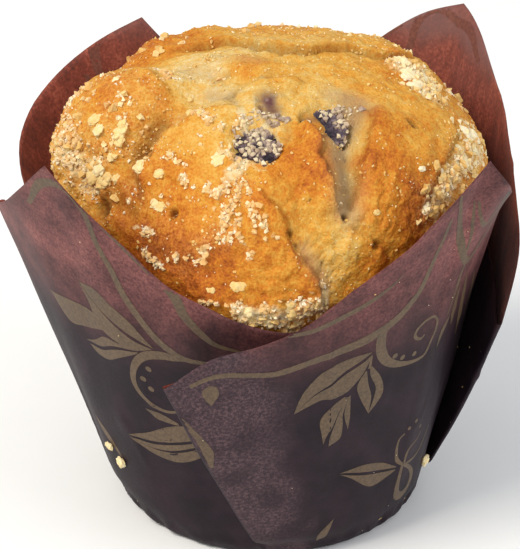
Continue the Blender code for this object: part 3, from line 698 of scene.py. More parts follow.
STEM_PETAL = [
    *stem([(62.5, -42.5), (65, -38.7), (67.2, -33.9), (68.7, -30.4), (70.2, -28.3), (71.9, -25.6), (73.4, -21.6),
           (75.2, -17.2), (77.5, -13.7), (79.4, -11.2), (82, -8.9), (84.9, -7), (89.8, -5.9), (94.5, -5.1),
           (98.5, -4.9)], 0.9, 1.2, 1.4, 1.9, 1.7, 1.2, 0.9),
    *stem([(76.2, -34), (78.2, -30.3), (79.3, -27.1), (80.7, -23.6), (82.9, -19.6), (86.2, -15.6), (89.5, -12.8)],
          0.3, 1.0, 1.2, 0.9, 0.2),
    *blade([(59.3, -25.3), (62.7, -25.2), (65.7, -24.6), (68.9, -22.9), (70.8, -20.3), (72.1, -17.3), (72.8, -14.4)],
           [(59.3, -25.3), (63.6, -23.2), (66.5, -20.3), (68.9, -18.3), (71.0, -15.9), (72.6, -14.2)]),
    *blade([(59.3, -25.3), (63.5, -23.1), (66.1, -20.0), (68.3, -18.0), (70.4, -15.5), (72.2, -14.0)],
           [(59.3, -25.3), (61.2, -23.5), (62.7, -21.3), (62.9, -18.9), (64, -16.9), (65.8, -15.7), (68, -14.7),
            (71.8, -13.9)]),
    *blade([(52.2, -18.5), (54.7, -19.4), (57.8, -20.4), (60.5, -19.4), (63, -17)],
           [(52.2, -18.5), (54.6, -18.3), (56.6, -17.7), (59.5, -17.2), (62.9, -16.6)]),
    *blade([(51.7, -17.4), (54, -17.7), (56.6, -17.4), (59.6, -17.1), (62.9, -16.7)],
           [(51.7, -17.4), (53.3, -15.5), (56.4, -15.7), (58.9, -16.3), (62.9, -16.1)]),
    *blade([(55.2, -14.4), (58.9, -16.0), (62.9, -16.2)], [(55.2, -14.4), (58.5, -14.8), (63.3, -15.9)]),
    *blade([(58.4, -11.1), (62, -13.6), (65.2, -15.1), (68.6, -14.3)],
           [(58.4, -11.1), (62.2, -11.5), (65.3, -12.9), (68.4, -14.0)]),
    *blade([(58.4, -11.1), (62.2, -10.9), (64.5, -11.2), (67.1, -12.9), (69.4, -13.7)],
           [(58.4, -11.1), (61.5, -9.4), (64.1, -9.4), (66.9, -10.9), (69.5, -13.3)]),
    *stem([(69, -13.7), (72, -14)], 0.6, 0.3),
    *stem([(79.5, -12.2), (77.8, -13), (76.2, -13.2), (74.3, -12.9), (72.2, -12.1), (70.2, -10.6), (68.8, -8.4),
           (67.9, -5.4), (67.5, -2), (67.9, 0.1), (70.2, 0.9), (72.9, 1.4), (75.3, 1.1), (76.2, -0.2), (76.2, -2.3),
           (75.2, -4.1), (73.9, -4.6), (72.8, -3.7), (72.3, -2.3), (72.9, -1.6)],
          0.8, 1.9, 2.1, 1.7, 1.0, 0.7, 0.5, 0.5, 0.6, 0.8, 0.5),
    *dot((70.6, -8.6), 0.6), *dot((69.6, -6.4), 0.6), *dot((69.3, -3.2), 0.55),
    *stem([(75.0, 5.2), (72, 4.4), (68.3, 3.7)], 0.3, 1.8, 0.3),
    *blade([(44.6, -13.4), (45.4, -11.3), (46.1, -8.5), (45.3, -4.4), (42.9, -0.2)],
           [(44.6, -13.4), (44.6, -11.0), (44.1, -6.8), (43.0, -1.6), (42.6, -0.2)]),
    *blade([(44.3, -13.3), (44.0, -11.0), (43.4, -6.8), (42.5, -1.8), (42.2, -0.2)],
           [(44.3, -13.3), (43.2, -10.7), (40.4, -5.9), (41.4, -1.6), (42.0, -0.2)]),
    *stem([(50.3, 0), (49.6, -1.1), (48.1, -1.3), (46.1, -1), (44.3, -0.3), (42.7, 1.5)], 0.4, 0.5, 0.7, 0.9, 0.6),
    *stem([(47.6, 6), (46.4, 4.8), (46.1, 2.8), (44.9, 2), (42.8, 1.9)], 0.3, 0.5, 0.8, 0.6),
    *stem([(46.3, 9.8), (43.8, 8.8), (42, 7.6), (41.5, 5.6), (42.4, 2.4)], 0.3, 0.5, 0.6, 0.7, 0.5),
    *stem([(42.7, 1.5), (40, 1.5), (37.1, 1.7), (34.8, 2.4), (33.4, 4.4), (34.2, 6.6), (37.0, 6.6), (40, 4.6),
           (42.6, 1.8)], 0.7, 1.0, 1.6, 2.0, 1.2, 0.8, 0.7),
    *dot((52.3, 2.6), 0.42), *dot((51.3, 0.9), 0.42), *dot((49.5, 5.0), 0.42),
    *blade([(62.8, -39.3), (61.2, -40.1), (59.4, -39.2), (58.2, -37.9)],
           [(62.8, -39.3), (62.6, -37.9), (60.8, -37.2), (58.2, -37.9)]),
    *stem([(56.5, -44.2), (52.9, -40.9), (49.9, -38.3), (46.8, -36.2), (43, -34.8)], 0.4, 0.8, 1.2, 1.9, 0.5),
    *blade([(26.6, -13.8), (29.4, -13.6), (33.6, -11.8)], [(26.6, -13.8), (28.6, -12.2), (33.6, -11.8)]),
    *stem([(103.7, -5.1), (99.8, -3.1), (95.9, -1.1), (91.7, 1.1), (88, 3.4), (86.4, 5.2), (87.2, 7.4), (90.5, 9),
           (95, 9.6)], 0.6, 1.2, 1.7, 1.5, 1.1, 0.9),
    *stem([(100.5, 0.5), (96, 1.9), (92.9, 2.9), (89.2, 3.6)], 0.3, 0.7, 0.5),
    *stem([(103.2, 7.6), (98.5, 7.8), (94.8, 7.2), (94.4, 5.2), (97.5, 2.7), (100.5, 1.3)], 1.9, 1.8, 1.2, 0.6, 0.4),
    *stem([(86.2, 4.8), (83, 4.5), (80.6, 4.5), (75.4, 4)], 0.5, 0.8, 0.8, 0.3),
    *stem([(81.6, 6.3), (79.6, 6.3), (75.1, 7.1), (70.6, 8.2)], 0.3, 1.3, 2.0, 0.3),
    *stem([(82, 8), (77.3, 9.9), (69.9, 12.6), (64, 14.3)], 0.3, 1.6, 1.9, 0.3),
    *stem([(79, 13.4), (72.4, 16.5), (65.5, 18.2)], 0.3, 1.6, 0.3),
]
print(len(HOOK_PETAL) + len(STEM_PETAL), "ribbons in the two petal designs")

# %% [markdown]
# To place a flat point, the line up the sheet that passes through it is found from the sign of a cross
# product: it changes between the two lines on either side of the point. The share between those lines
# and the share up them give the place on the folded grid.

# %% From the flat sheet to the folded one
INK_LIFT = 0.035 * MM


def fold(petal, flat_mm, side):
    """Places on the folded petal for flat (u, v) points, and which of them lie on the petal at all."""
    turn = math.radians(-45.0 + 90.0 * petal)
    out = np.array([math.cos(turn), math.sin(turn)])
    across = np.array([-math.sin(turn), math.cos(turn)])
    flat = (flat_mm[:, :1] * out + flat_mm[:, 1:] * across) * MM
    first = PETAL_FIRST[petal]
    foot = flat_all[first:first + PETAL_WIDTH, DISC_COUNT]
    edge = flat_all[first:first + PETAL_WIDTH, -1]

    def miss(a, b, p):
        return (b[..., 0] - a[..., 0]) * (p[..., 1] - a[..., 1]) - (b[..., 1] - a[..., 1]) * (p[..., 0] - a[..., 0])

    sign = miss(foot[None], edge[None], flat[:, None]) > 0.0
    left = np.clip(np.sum(sign, axis=1) - 1, 0, PETAL_WIDTH - 2)
    low, high = np.full(len(flat), -0.02), np.full(len(flat), 1.02)
    for _ in range(18):
        share = 0.5 * (low + high)
        a = foot[left] + share[:, None] * (foot[left + 1] - foot[left])
        b = edge[left] + share[:, None] * (edge[left + 1] - edge[left])
        beyond = miss(a, b, flat) > 0.0
        low, high = np.where(beyond, share, low), np.where(beyond, high, share)
    t = np.sum((flat - a) * (b - a), axis=1) / np.sum((b - a) ** 2, axis=1)
    found = (share > -0.01) & (share < 1.01) & (t > 0.0) & (t < 1.0)
    row = np.clip(t, 0.0, 0.9999) * WALL_ROWS
    j = row.astype(int)
    across_share, up_share = np.clip(share, 0.0, 1.0)[:, None], (row - j)[:, None]

    def between(grid):
        i, j_grid = first + left, DISC_COUNT + j
        low_row = grid[i, j_grid] * (1 - across_share) + grid[i + 1, j_grid] * across_share
        high_row = grid[i, j_grid + 1] * (1 - across_share) + grid[i + 1, j_grid + 1] * across_share
        return low_row * (1 - up_share) + high_row * up_share

    lift = INK_LIFT if side > 0 else -(PAPER_SHOWN + INK_LIFT)
    return between(sheet_points) + between(sheet_normals) * lift, found


def print_on(name, designs, material, side):
    """One mesh of all the ribbons that land on the petals' outer (+1) or inner (-1) face."""
    points, faces, start = [], [], 0
    for petal, design in designs:
        for number, grid in enumerate(design):
            placed, found = fold(petal, grid.reshape(-1, 2), side)
            shape = grid.shape[:2]
            order = np.arange(len(placed)).reshape(shape)
            cells = np.stack([order[:-1, :-1], order[:-1, 1:], order[1:, 1:], order[1:, :-1]], -1).reshape(-1, 4)
            cells = cells[found[cells].all(axis=1)]
            if not len(cells):
                continue
            corner = placed[cells]
            facing = np.cross(corner[:, 2] - corner[:, 0], corner[:, 3] - corner[:, 1])
            outward = placed[cells].mean(axis=1) * np.array([1.0, 1.0, 0.0])
            cells = np.where((np.sum(facing * outward, axis=1) * side < 0.0)[:, None], cells[:, ::-1], cells)
            points.append(placed)
            faces.append(cells + start)
            start += len(placed)
    made = mesh_object(name, np.concatenate(points), np.concatenate(faces), [material])
    tidy = bmesh.new()
    tidy.from_mesh(made.data)
    loose = [vert for vert in tidy.verts if not vert.link_faces]
    bmesh.ops.delete(tidy, geom=loose, context="VERTS")
    tidy.to_mesh(made.data)
    tidy.free()
    corners_kept = np.array([vert.co for vert in made.data.vertices])
    # Painted shade: the outer print is darkened toward the case's right edge, in patches from noise; the inner print
    # gets none.
    right_edge_shade = smooth_step((corners_kept[:, 0] - 34.0 * MM) / (8.0 * MM)) + 0.35 * noise_at(corners_kept, 5.0, 95)
    store(made, "wear_and_painted_light", np.clip(0.75 * right_edge_shade, 0.0, 0.8) * (side > 0))
    return made


DESIGNS = [(FRONT_RIGHT, STEM_PETAL), (BACK_RIGHT, HOOK_PETAL), (BACK_LEFT, STEM_PETAL), (FRONT_LEFT, HOOK_PETAL)]
case_print = print_on("case_print", DESIGNS, gold_ink, +1)
case_print_inside = print_on("case_print_inside", DESIGNS, show_through, -1)
print("print", triangles(case_print), "and", triangles(case_print_inside), "triangles")

# %% [markdown]
# ## The cake
# Batter rises over the rim, its skin sets and splits, and softer batter pushes up between the plates.
# That leaves lobes, stepped edges and pale channels. The dome is laid out on a map: a place (a, b) lies
# that many millimetres of arc from the crown, so features are drawn at their true size. A square grid
# bent onto the disc of the map gives even cells all over, with no pole.

# %% Driving sizes of the cake
CLEARANCE = 0.3 * MM
CAKE_CENTRE = np.array([0.7, 0.0, 0.0]) * MM
RIM_HEIGHT = 51.5 * MM
DOME_BASE = 56.5 * MM
DOME_RADIUS = 38.0 * MM
DOME_HEIGHT = 29.6 * MM
DOME_FLATTEN = 2.3
LOBES = (((-30.0, -7.0), 11.0, 4.6), ((-24.0, -13.0), 9.0, 1.2), ((-12.0, -22.0), 7.0, 1.0),
         ((-7.0, -33.0), 10.0, 1.6), ((24.0, -17.0), 12.0, 1.4), ((-8.0, 14.0), 12.0, -1.6),
         ((22.0, 12.0), 9.0, 0.8), ((-35.0, -11.0), 6.0, 1.8))
CREASES = (((6.4, -23.0), (9.2, -31.0), 3.0, 1.3), ((10.5, -20.5), (12.0, -30.5), 2.6, -2.4),
           ((7.0, -34.5), (11.0, -36.0), 5.0, -1.4), ((-14.0, -13.0), (-23.0, -20.0), 2.8, -2.2),
           ((-19.0, -2.0), (-7.0, -11.0), 4.0, -1.3), ((-22.0, 4.0), (20.0, 6.0), 3.5, -0.8))
WALL_INSET = 0.5 * PAPER_SOLID + CLEARANCE
RIM_RADIUS = cone_radius(RIM_HEIGHT) - WALL_INSET

# %% The dome and its map
def dome_profile(count=600):
    """Radius, height and arc length from the crown down to the rim."""
    start = -math.acos(RIM_RADIUS / DOME_RADIUS)
    angle = np.linspace(math.pi / 2, start, count)
    power = 2.0 / DOME_FLATTEN
    upper = np.maximum(angle, 0.0)
    radius = np.where(angle < 0.0, DOME_RADIUS * np.cos(angle), DOME_RADIUS * np.maximum(np.cos(upper), 0.0) ** power)
    lift = (DOME_BASE - RIM_HEIGHT) / math.sin(-start)
    height = np.where(angle < 0.0, DOME_BASE + lift * np.sin(angle), DOME_BASE + DOME_HEIGHT * np.sin(upper) ** power)
    steps = np.hypot(np.diff(radius), np.diff(height))
    return radius, height, np.concatenate([[0.0], np.cumsum(steps)])


PROFILE_RADIUS, PROFILE_HEIGHT, PROFILE_ARC = dome_profile()
MAP_RADIUS = PROFILE_ARC[-1]


def from_map(place):
    """Points on the plain dome for map places in millimetres."""
    far = np.hypot(place[..., 0], place[..., 1]) * MM
    turn = np.arctan2(place[..., 1], place[..., 0])
    radius = np.interp(far, PROFILE_ARC, PROFILE_RADIUS)
    height = np.interp(far, PROFILE_ARC, PROFILE_HEIGHT)
    return np.stack([radius * np.cos(turn), radius * np.sin(turn), height], -1)


def dome_normal(points):
    out = np.stack([points[..., 0] / DOME_RADIUS ** 2, points[..., 1] / DOME_RADIUS ** 2,
                    np.maximum(points[..., 2] - DOME_BASE, 0.0) / DOME_HEIGHT ** 2], -1)
    return out / np.linalg.norm(out, axis=-1, keepdims=True)


def over_dome(x_mm, y_mm):
    """The plain dome's point over a place given in millimetres from the cake's axis."""
    reach = min(math.hypot(x_mm, y_mm) * MM / DOME_RADIUS, 0.999)
    return np.array([x_mm * MM, y_mm * MM,
                     DOME_BASE + DOME_HEIGHT * (1.0 - reach ** DOME_FLATTEN) ** (1.0 / DOME_FLATTEN)])


def broad_rise(points):
    """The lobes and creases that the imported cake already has, in metres."""
    rise = np.zeros(points.shape[:-1])
    for place, spread, height in LOBES:
        far = np.linalg.norm(points - over_dome(*place), axis=-1) / (spread * MM)
        rise += height * MM * np.exp(-far ** 4)
    for start, end, width, height in CREASES:
        a, b = over_dome(*start), over_dome(*end)
        along = np.clip((points - a) @ (b - a) / np.dot(b - a, b - a), 0.0, 1.0)
        far = np.linalg.norm(points - a - along[..., None] * (b - a), axis=-1) / (width * MM)
        rise += height * MM * np.exp(-far ** 2)
    return rise


print("dome map reaches", round(MAP_RADIUS / MM, 1), "mm from the crown")

# %% [markdown]
# ## Steps, grooves and pits
# Where the skin split, one side of the line stands over the other. A step raises the crust on the left
# of its line and lets it sink back with distance; a narrow cut runs along its foot. All lines are bent a
# little by noise first, so that no edge is drawn with a ruler.

# %% Fine crust features, in map millimetres
# Each step: line, how high its left side stands, over what distance it sinks back, depth of the cut.
STEPS = (
    (((-6.2, -18.6), (-8.0, -19.4), (-12.6, -19.9), (-16.0, -20.6), (-18.4, -21.2), (-20.8, -22.0),
      (-21.9, -24.7), (-24.4, -24.4), (-25.4, -27.6), (-26.0, -31.0)), 1.9, 7.5, 1.3),
    (((12.4, -57.0), (11.4, -53.6), (9.3, -49.6), (6.6, -46.7), (4.2, -45.4), (2.6, -43.0), (1.0, -39.4),
      (-0.6, -37.2), (-3.4, -34.4)), 1.05, 7.0, 0.25),
    (((12.7, -38.6), (11.7, -36.0), (10.4, -33.6), (8.4, -30.7), (7.2, -28.8), (8.2, -26.3), (6.6, -23.3),
      (4.4, -22.2), (2.4, -23.2)), 1.5, 4.5, 0.45),
    (((15.2, -15.5), (16.0, -20.5), (15.8, -26.2), (14.7, -28.9), (14.6, -34.0), (13.6, -38.6)), 1.2, 6.0, 0.3),
    (((-20.5, 8.0), (-15.2, 6.6), (-11.0, 8.2), (-4.6, 4.2), (0.5, -1.3), (5.3, -1.5), (10.7, 1.6), (14.2, 2.4),
      (19.9, 2.6), (27.0, 9.5)), 1.5, 10.0, 0.6),
    (((5.0, -12.6), (2.5, -10.6), (-0.6, -10.6), (-3.4, -12.0), (-6.6, -13.2), (-7.6, -17.2)), 0.8, 4.0, 0.4),
    (((-18.0, -13.8), (-18.2, -11.0), (-19.7, -7.4), (-21.7, -6.4), (-25.0, -6.8), (-30.0, -4.5)), 0.9, 4.0, 0.2),
    (((24.6, -41.8), (20.2, -40.6), (16.4, -40.0), (14.0, -39.4)), 0.5, 4.0, 0.3),
    (((27.6, -7.8), (30.6, -9.9), (32.3, -12.0), (31.7, -16.4), (30.6, -21.6), (28.6, -27.0), (28.3, -31.5)),
     -0.7, 5.0, 0.4),
)
# Each groove: line, half-width and depth.
GROOVES = (
    (((-14.0, -18.2), (-17.2, -18.4), (-20.3, -17.0), (-22.5, -18.8), (-23.9, -20.6), (-25.9, -22.6),
      (-27.4, -26.0), (-28.2, -31.0)), 1.5, 1.5),
    (((13.0, -19.5), (13.0, -24.0), (12.4, -28.0), (12.8, -34.0), (13.2, -38.4)), 1.9, 1.3),
    (((-20.0, -14.0), (-16.5, -12.5), (-12.5, -12.5), (-8.6, -15.2)), 2.4, 0.9),
    (((-12.5, -7.0), (-8.0, -8.5), (-2.6, -10.0)), 1.6, 0.5),
    (((-22.0, -36.0), (-17.0, -37.5), (-12.0, -37.0)), 1.6, 0.5),
    (((30.5, -12.0), (29.0, -22.0), (26.5, -30.0)), 1.8, 0.4),
    (((-34.0, -24.0), (-31.5, -29.0), (-29.0, -34.0)), 1.8, 0.6),
    (((-14.0, 1.5), (-4.0, -0.5), (2.0, -4.5), (12.0, -1.5)), 1.5, 0.3),
)
# Each painted shadow: line, half-width and how dark the painted shade makes the crust in it.
PAINTED_SHADOWS = ((((-20.3, -16.7), (-22.5, -18.6), (-23.9, -20.3), (-25.7, -22.0), (-26.6, -24.5), (-26.7, -27.6),
            (-26.2, -30.7)), 1.0, 0.62), (((-33.0, -26.0), (-30.5, -29.5), (-28.0, -33.0)), 1.5, 0.45),
          (((-9.2, -16.6), (-7.6, -18.6)), 1.0, 0.35), (((-30.0, -34.0), (-24.0, -41.0)), 1.8, 0.25))
# Each swell: place, radius and height.
SWELLS = ((-22.0, 14.0, 5.5, 2.1), (-13.0, 17.5, 5.0, 1.5), (6.0, 16.0, 12.0, -1.1), (-38.0, -17.0, 7.0, -1.0),
          (-33.0, -3.0, 5.0, 0.2), (-28.0, -4.5, 5.0, -0.7), (28.0, 12.0, 7.0, -0.4), (22.5, 0.0, 4.0, 0.5), (36.5, -9.0, 4.0, 0.5),
          (-19.5, -8.5, 4.0, 1.2))
# Each pit: place, radius and depth.
PITS = (((13.2, -38.4), 0.8, 1.6), ((20.3, -41.2), 0.75, 1.5), ((23.2, -18.2), 0.8, 0.9), ((22.2, -17.8), 0.5, 0.6),
        ((-19.8, -36.2), 0.9, 1.0), ((2.2, -42.2), 0.55, 0.9), ((3.9, -44.4), 0.4, 0.6), ((-22.2, -24.6), 1.0, 1.4),
        ((-36.0, -27.0), 2.4, 1.5), ((-20.6, -22.0), 0.7, 1.0), ((12.0, -24.4), 0.5, 0.6), ((9.8, -47.0), 0.3, 0.5),
        ((4.6, -21.8), 0.9, 0.7), ((-5.6, -26.6), 0.8, 0.9), ((6.0, -36.5), 0.3, 0.4), ((17.5, -44.0), 0.3, 0.4))


def to_line(place, line):
    """Distance to a line of points, which side of it (+1 is left) and the share along it."""
    line = np.array(line, dtype=float)
    lengths = np.linalg.norm(np.diff(line, axis=0), axis=1)
    before = np.concatenate([[0.0], np.cumsum(lengths)])
    best = np.full(place.shape[:-1], 1e9)
    side = np.zeros_like(best)
    share = np.zeros_like(best)
    for i, (a, b) in enumerate(zip(line[:-1], line[1:])):
        along = np.clip((place - a) @ (b - a) / np.dot(b - a, b - a), 0.0, 1.0)
        off = place - a - along[..., None] * (b - a)
        far = np.linalg.norm(off, axis=-1)
        nearer = far < best
        turn = (b[0] - a[0]) * (place[..., 1] - a[1]) - (b[1] - a[1]) * (place[..., 0] - a[0])
        best = np.where(nearer, far, best)
        side = np.where(nearer, np.sign(turn), side)
        share = np.where(nearer, (before[i] + along * lengths[i]) / before[-1], share)
    return best, side, share


def spots(place, table, base, base_weight):
    """A smooth blend of spots (a, b, radius, value) over a base value."""
    total = np.full(place.shape[:-1], base * base_weight)
    weight = np.full(place.shape[:-1], base_weight)
    for a, b, radius, value in table:
        w = np.exp(-((place[..., 0] - a) ** 2 + (place[..., 1] - b) ** 2) / radius ** 2)
        total += w * value
        weight += w
    return total / weight


def bands(place, table):
    """The strongest of several soft bands (line, half-width, value)."""
    found = np.zeros(place.shape[:-1])
    for line, width, value in table:
        far = to_line(place, line)[0]
        found = np.maximum(found, value * np.exp(-(far / width) ** 2))
    return found


print(len(STEPS), "steps,", len(GROOVES), "grooves and", len(PITS), "pits")

# %% [markdown]
# ## Bake, crumb and stain
# The skin is darkest where it stood up and dried first, and palest where it opened last. A handful of
# soft spots set how far each place is baked, from 0 for raw-looking crumb to 1 for dark brown. The far
# left lobe and the right edge are crusted with butter crumbs, which show as a granular relief. The juice
# of the burst berries stains the crumb round them and down the pale channel.

# %% Tables of bake, crumb and stain
BAKE = (
    (-38, -15, 5, .45), (-26, -12, 4, .64), (-22, -10, 3, .56), (-26, -19, 3, .56), (-31, -11, 4, .52),
    (-24, -15, 3, .50), (-22, -14, 3, .50), (-30, -21, 4, .48), (-18, -5, 4, .12), (-13, -4, 4, .08),
    (-16, -9, 3, .18), (-12, -9, 3, .12), (-18, 11, 4, .58), (-12, 11, 3, .46), (-5, -6, 3, .60), (3, -6, 4, .32),
    (8, -6, 4, .38), (14, -10, 4, .42), (18, -13, 4, .46), (-8, -14, 4, .12), (-3, -12, 3, .30), (4, -14, 3, .30),
    (9, -15, 3, .24), (18, -21, 4, .66), (23, -20, 4, .52), (27, -14, 4, .40), (17, -28, 3, .80), (21, -30, 4, .66),
    (25, -29, 3, .96), (27, -23, 3, .55), (27, -33, 3, .84), (30, -16, 3, .36), (23, -25, 3, .60), (20, -35, 4, .52), (26, -21, 3, .46),
    (5, -26, 3, .64), (7, -31, 2.5, .72), (3.5, -33, 3, .68), (9, -37, 3, .52), (-30, -28, 4, .74),
    (-25, -32, 5, .70), (-19, -32, 4, .52), (-21, -38, 4, .74), (-15, -39, 4, .66), (-2, -36, 3, .58),
    (1, -40, 3, .57), (3, -46, 4, .57), (7, -50, 3, .70), (-11, -33, 4, .50), (-9, -38, 4, .52), (-19, -47, 4, .90),
    (-12, -47, 4, .84), (-5, -49, 4, .60), (-2, -51, 4, .58), (-27, -39, 4, .98), (-24, -41, 3, 1.0), (6, -39, 3, .32),
    (11, -43, 4, .24), (14, -46, 3, .24), (12, -50, 3, .30), (21, -45, 3, .64), (18, -49, 3, .56), (-12, -24, 4, .30),
    (-8, -25, 3, .24), (-10, -29, 3, .34), (-17, -23, 3, .38), (-21, -26, 3, .48), (13, -23, 3, .10),
    (13, -30, 2, .14), (12, -35, 2, .36), (-5, 3, 3, .10), (4, 2, 3, .20), (12, 4, 3, .32), (2, 6, 5, .30), (10, 8, 5, .30), (-8, 10, 5, .30), (4, 16, 5, .50),
    (16, 12, 5, .42), (36, -6, 4, .50), (22, 10, 5, .38), (0, -20, 4, .15), (34, 6, 4, .60), (-30, 16, 6, .7),
)
CRUMBLY = ((((-38, -12), (-37, -20), (-30, -22)), 7.0, 1.1), (((-32, -8), (-24, -12), (-24, -20)), 6.0, 0.55),
           (((11.6, -19.0), (11.2, -25.0), (11.4, -33.0)), 2.0, 0.42), (((-20, -4), (-10, -3)), 4.0, 0.45), (((22, 0), (26, 2), (27, -6)), 3.0, 1.35),
           (((40, -2), (36, -13), (32, -26), (29, -31)), 3.6, 1.0), (((-10, -55), (0, -57.4), (11, -54)), 1.6, 1.0),
           (((-6, -34), (-9, -40), (-20, -45)), 1.8, 0.6), (((-20, 18), (0, 26), (22, 18)), 8.0, 0.4),
           (((-30, 30), (0, 48), (30, 30)), 12.0, 0.35), (((-30, -30), (-20, -40)), 6.0, 0.22))
STAIN = ((((-1.4, -18.0), (-0.8, -19.8)), 2.4, 0.95), (((-2.8, -19.6), (-2.3, -21.8)), 1.1, 0.95),
         (((13.2, -19.4), (13.8, -19.0)), 1.0, 0.6), (((12.6, -26.4), (12.7, -26.8)), 0.4, 0.8),
         (((-6.2, -22.6), (-5.8, -28.0)), 1.1, 0.42), (((0.6, -22.0), (1.2, -26.0)), 1.3, 0.42),
         (((4.8, -21.8), (7.6, -20.2), (11.0, -18.6)), 1.2, 0.75), (((8.4, -25.0), (11.6, -21.5)), 1.2, 0.7),
         (((11.4, -16.0), (13.6, -18.0), (13.0, -22.0)), 1.8, 0.50), (((12.4, -22.0), (11.4, -30.0)), 1.6, 0.28),
         (((-10.6, -8.2), (-8.6, -7.4)), 1.2, 0.5), (((-2.9, -10.4), (-1.8, -10.8)), 0.9, 0.45),
         (((-9.2, -15.8), (-7.6, -17.6)), 1.3, 0.35), (((12.0, -24.2), (12.2, -24.6)), 0.4, 0.9),
         (((10.2, -27.6), (10.4, -27.9)), 0.4, 0.8), (((12.8, -20.4), (13.0, -20.7)), 0.35, 0.9))
RAW = ((((11.8, -18.6), (11.4, -24.0), (11.0, -28.0), (12.4, -33.0), (13.2, -37.5)), 2.5, 1.0),
       (((9.0, -14.6), (14.0, -16.4)), 2.2, 0.7), (((-12.0, -12.2), (-8.8, -15.0)), 2.2, 0.75),
       (((-16.6, -17.4), (-21.0, -20.0), (-24.0, -23.0)), 1.5, 0.35), (((6.0, -45.0), (11.0, -50.0)), 1.6, 0.6),
       (((-10.0, -2.0), (-3.0, -4.0)), 2.0, 0.35), (((-16.0, -4.0), (-12.0, -6.0)), 2.4, 0.5))
CREAM = ((((22.0, 0.5), (25.5, 2.0), (27.4, -1.5), (25.8, -5.8)), 2.9, 1.0),
         (((36.5, -7.0), (38.5, -9.0), (36.8, -13.0)), 3.0, 0.95),
         (((35.0, -15.0), (33.2, -20.0), (31.4, -26.0), (29.8, -31.0)), 2.3, 0.75),
         (((-8.0, -55.6), (0.0, -56.8), (4.9, -56.6), (11.4, -54.0), (10.8, -52.0)), 1.5, 0.9),
         (((-7.4, -32.6), (-5.4, -29.6)), 1.6, 0.9), (((-6.0, -20.6), (-5.4, -26.0)), 1.2, 0.7),
         (((-38.0, -13.0), (-37.0, -20.0)), 3.6, 0.55), (((-1.6, -21.0), (-2.6, -30.0)), 2.4, 0.55))
SUGAR = (
    (((-12.2, -34.2), (-9.9, -35.4), (-8.4, -34.4), (-7.2, -32.6), (-6.0, -30.8)), 1.0, 1.0),
    (((-7.2, -37.0), (-9.2, -38.8), (-9.9, -40.8), (-12.2, -42.5), (-15.4, -44.7), (-18.4, -44.8)), 1.2, 1.0),
    (((-6.6, -35.4), (-4.6, -36.4), (-5.4, -39.0), (-3.4, -40.6)), 1.5, 0.75),
    (((-7.9, -41.3), (-6.8, -43.2), (-4.9, -44.2), (-5.2, -46.2)), 1.1, 0.7), (((-2.6, -40.8), (-1.4, -43.6)), 1.3, 0.7),
    (((-6.6, -36.0), (-5.4, -41.0), (-9.0, -43.0)), 4.2, 0.50), (((-12.0, -35.0), (-12.0, -41.0)), 3.0, 0.34),
    (((-17.2, -52.2), (-14.6, -53.6), (-11.9, -54.4), (-9.6, -55.4)), 1.0, 0.95),
    (((-9.6, -55.4), (-6.2, -57.4), (-2.8, -58.4), (0.7, -58.8), (4.9, -58.4), (9.0, -56.8), (11.5, -54.2),
      (11.2, -52.2), (9.6, -51.2)), 1.9, 1.2),
    (((-2.0, -54.8), (8.0, -54.0)), 1.7, 0.64), (((-28.8, -35.4), (-25.5, -37.6)), 1.0, 1.0),
    (((-28.4, -40.0), (-26.8, -41.5), (-24.8, -43.6), (-21.0, -43.4)), 1.0, 1.0),
    (((-12.8, -20.9), (-10.6, -23.2), (-9.2, -24.9)), 0.9, 0.95), (((-17.8, -27.4), (-15.6, -29.2)), 0.9, 0.9),
    (((-15.0, -33.4), (-16.8, -31.4)), 0.9, 0.9), (((-8.4, -28.6), (-6.4, -30.4)), 1.4, 0.9),
    (((-6.6, -22.0), (-6.4, -27.6)), 0.9, 0.7), (((-38.0, -12.0), (-36.0, -20.0)), 4.6, 0.78),
    (((-34.0, -4.0), (-38.0, -10.0)), 3.0, 0.70),
    (((-26.0, -10.0), (-27.0, -20.0)), 6.0, 0.34), (((-20.0, -28.0), (-22.0, -33.0)), 3.6, 0.34),
    (((-18.0, -6.0), (-10.0, -6.0)), 4.0, 0.30), (((22.0, 0.5), (25.5, 2.0), (27.4, -1.5), (25.8, -5.8)), 3.0, 0.9),
    (((36.5, -7.0), (38.5, -9.0), (36.8, -13.0)), 3.2, 0.5),
    (((35.0, -15.0), (33.2, -20.0), (31.4, -26.0), (29.8, -31.0)), 2.6, 0.5),
    (((-16.0, -22.0), (-12.0, -27.0)), 3.4, 0.30), (((-19.0, 8.0), (0.0, 16.0), (20.0, 12.0)), 3.0, 0.22),
    (((-30.0, 20.0), (0.0, 42.0), (30.0, 20.0)), 14.0, 0.26), (((12.4, -35.0), (12.9, -38.4)), 0.7, 0.6),
    (((33.0, 3.0), (38.0, 0.0)), 2.0, 0.4), (((-20.0, -3.6), (-17.4, -9.4)), 1.6, 0.5),
    (((-26.0, -26.0), (-30.0, -30.0)), 3.0, 0.34), (((6.0, -46.0), (2.0, -50.0)), 3.0, 0.2),
)
print(len(BAKE), "bake spots")

# %% Relief of the crust
BERRY_NODES = ("blueberry_1", "blueberry_2", "blueberry_3")
berry_centres = [np.array((low + high) * 0.5) for low, high in (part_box(name) for name in BERRY_NODES)]
berry_radii = [0.25 * sum((high - low)[:2]) for low, high in (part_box(name) for name in BERRY_NODES)]


def warped(place, points):
    """The map place, pushed about by noise so that features get natural edges."""
    broad = np.stack([noise_at(points, 5.0, 11), noise_at(points, 5.0, 12)], -1) * 0.9
    fine = np.stack([noise_at(points, 1.4, 13), noise_at(points, 1.4, 14)], -1) * 0.35
    return place + broad + fine


def cell_bumps(points, size_mm):
    """Rounded grains packed side by side: high in the middle of each cell, low between cells."""
    values = [noise.voronoi(Vector(p), distance_metric="DISTANCE")[0][:2] for p in points / (size_mm * MM)]
    values = np.array(values)
    return np.clip(values[:, 1] - values[:, 0], 0.0, 0.55) / 0.55


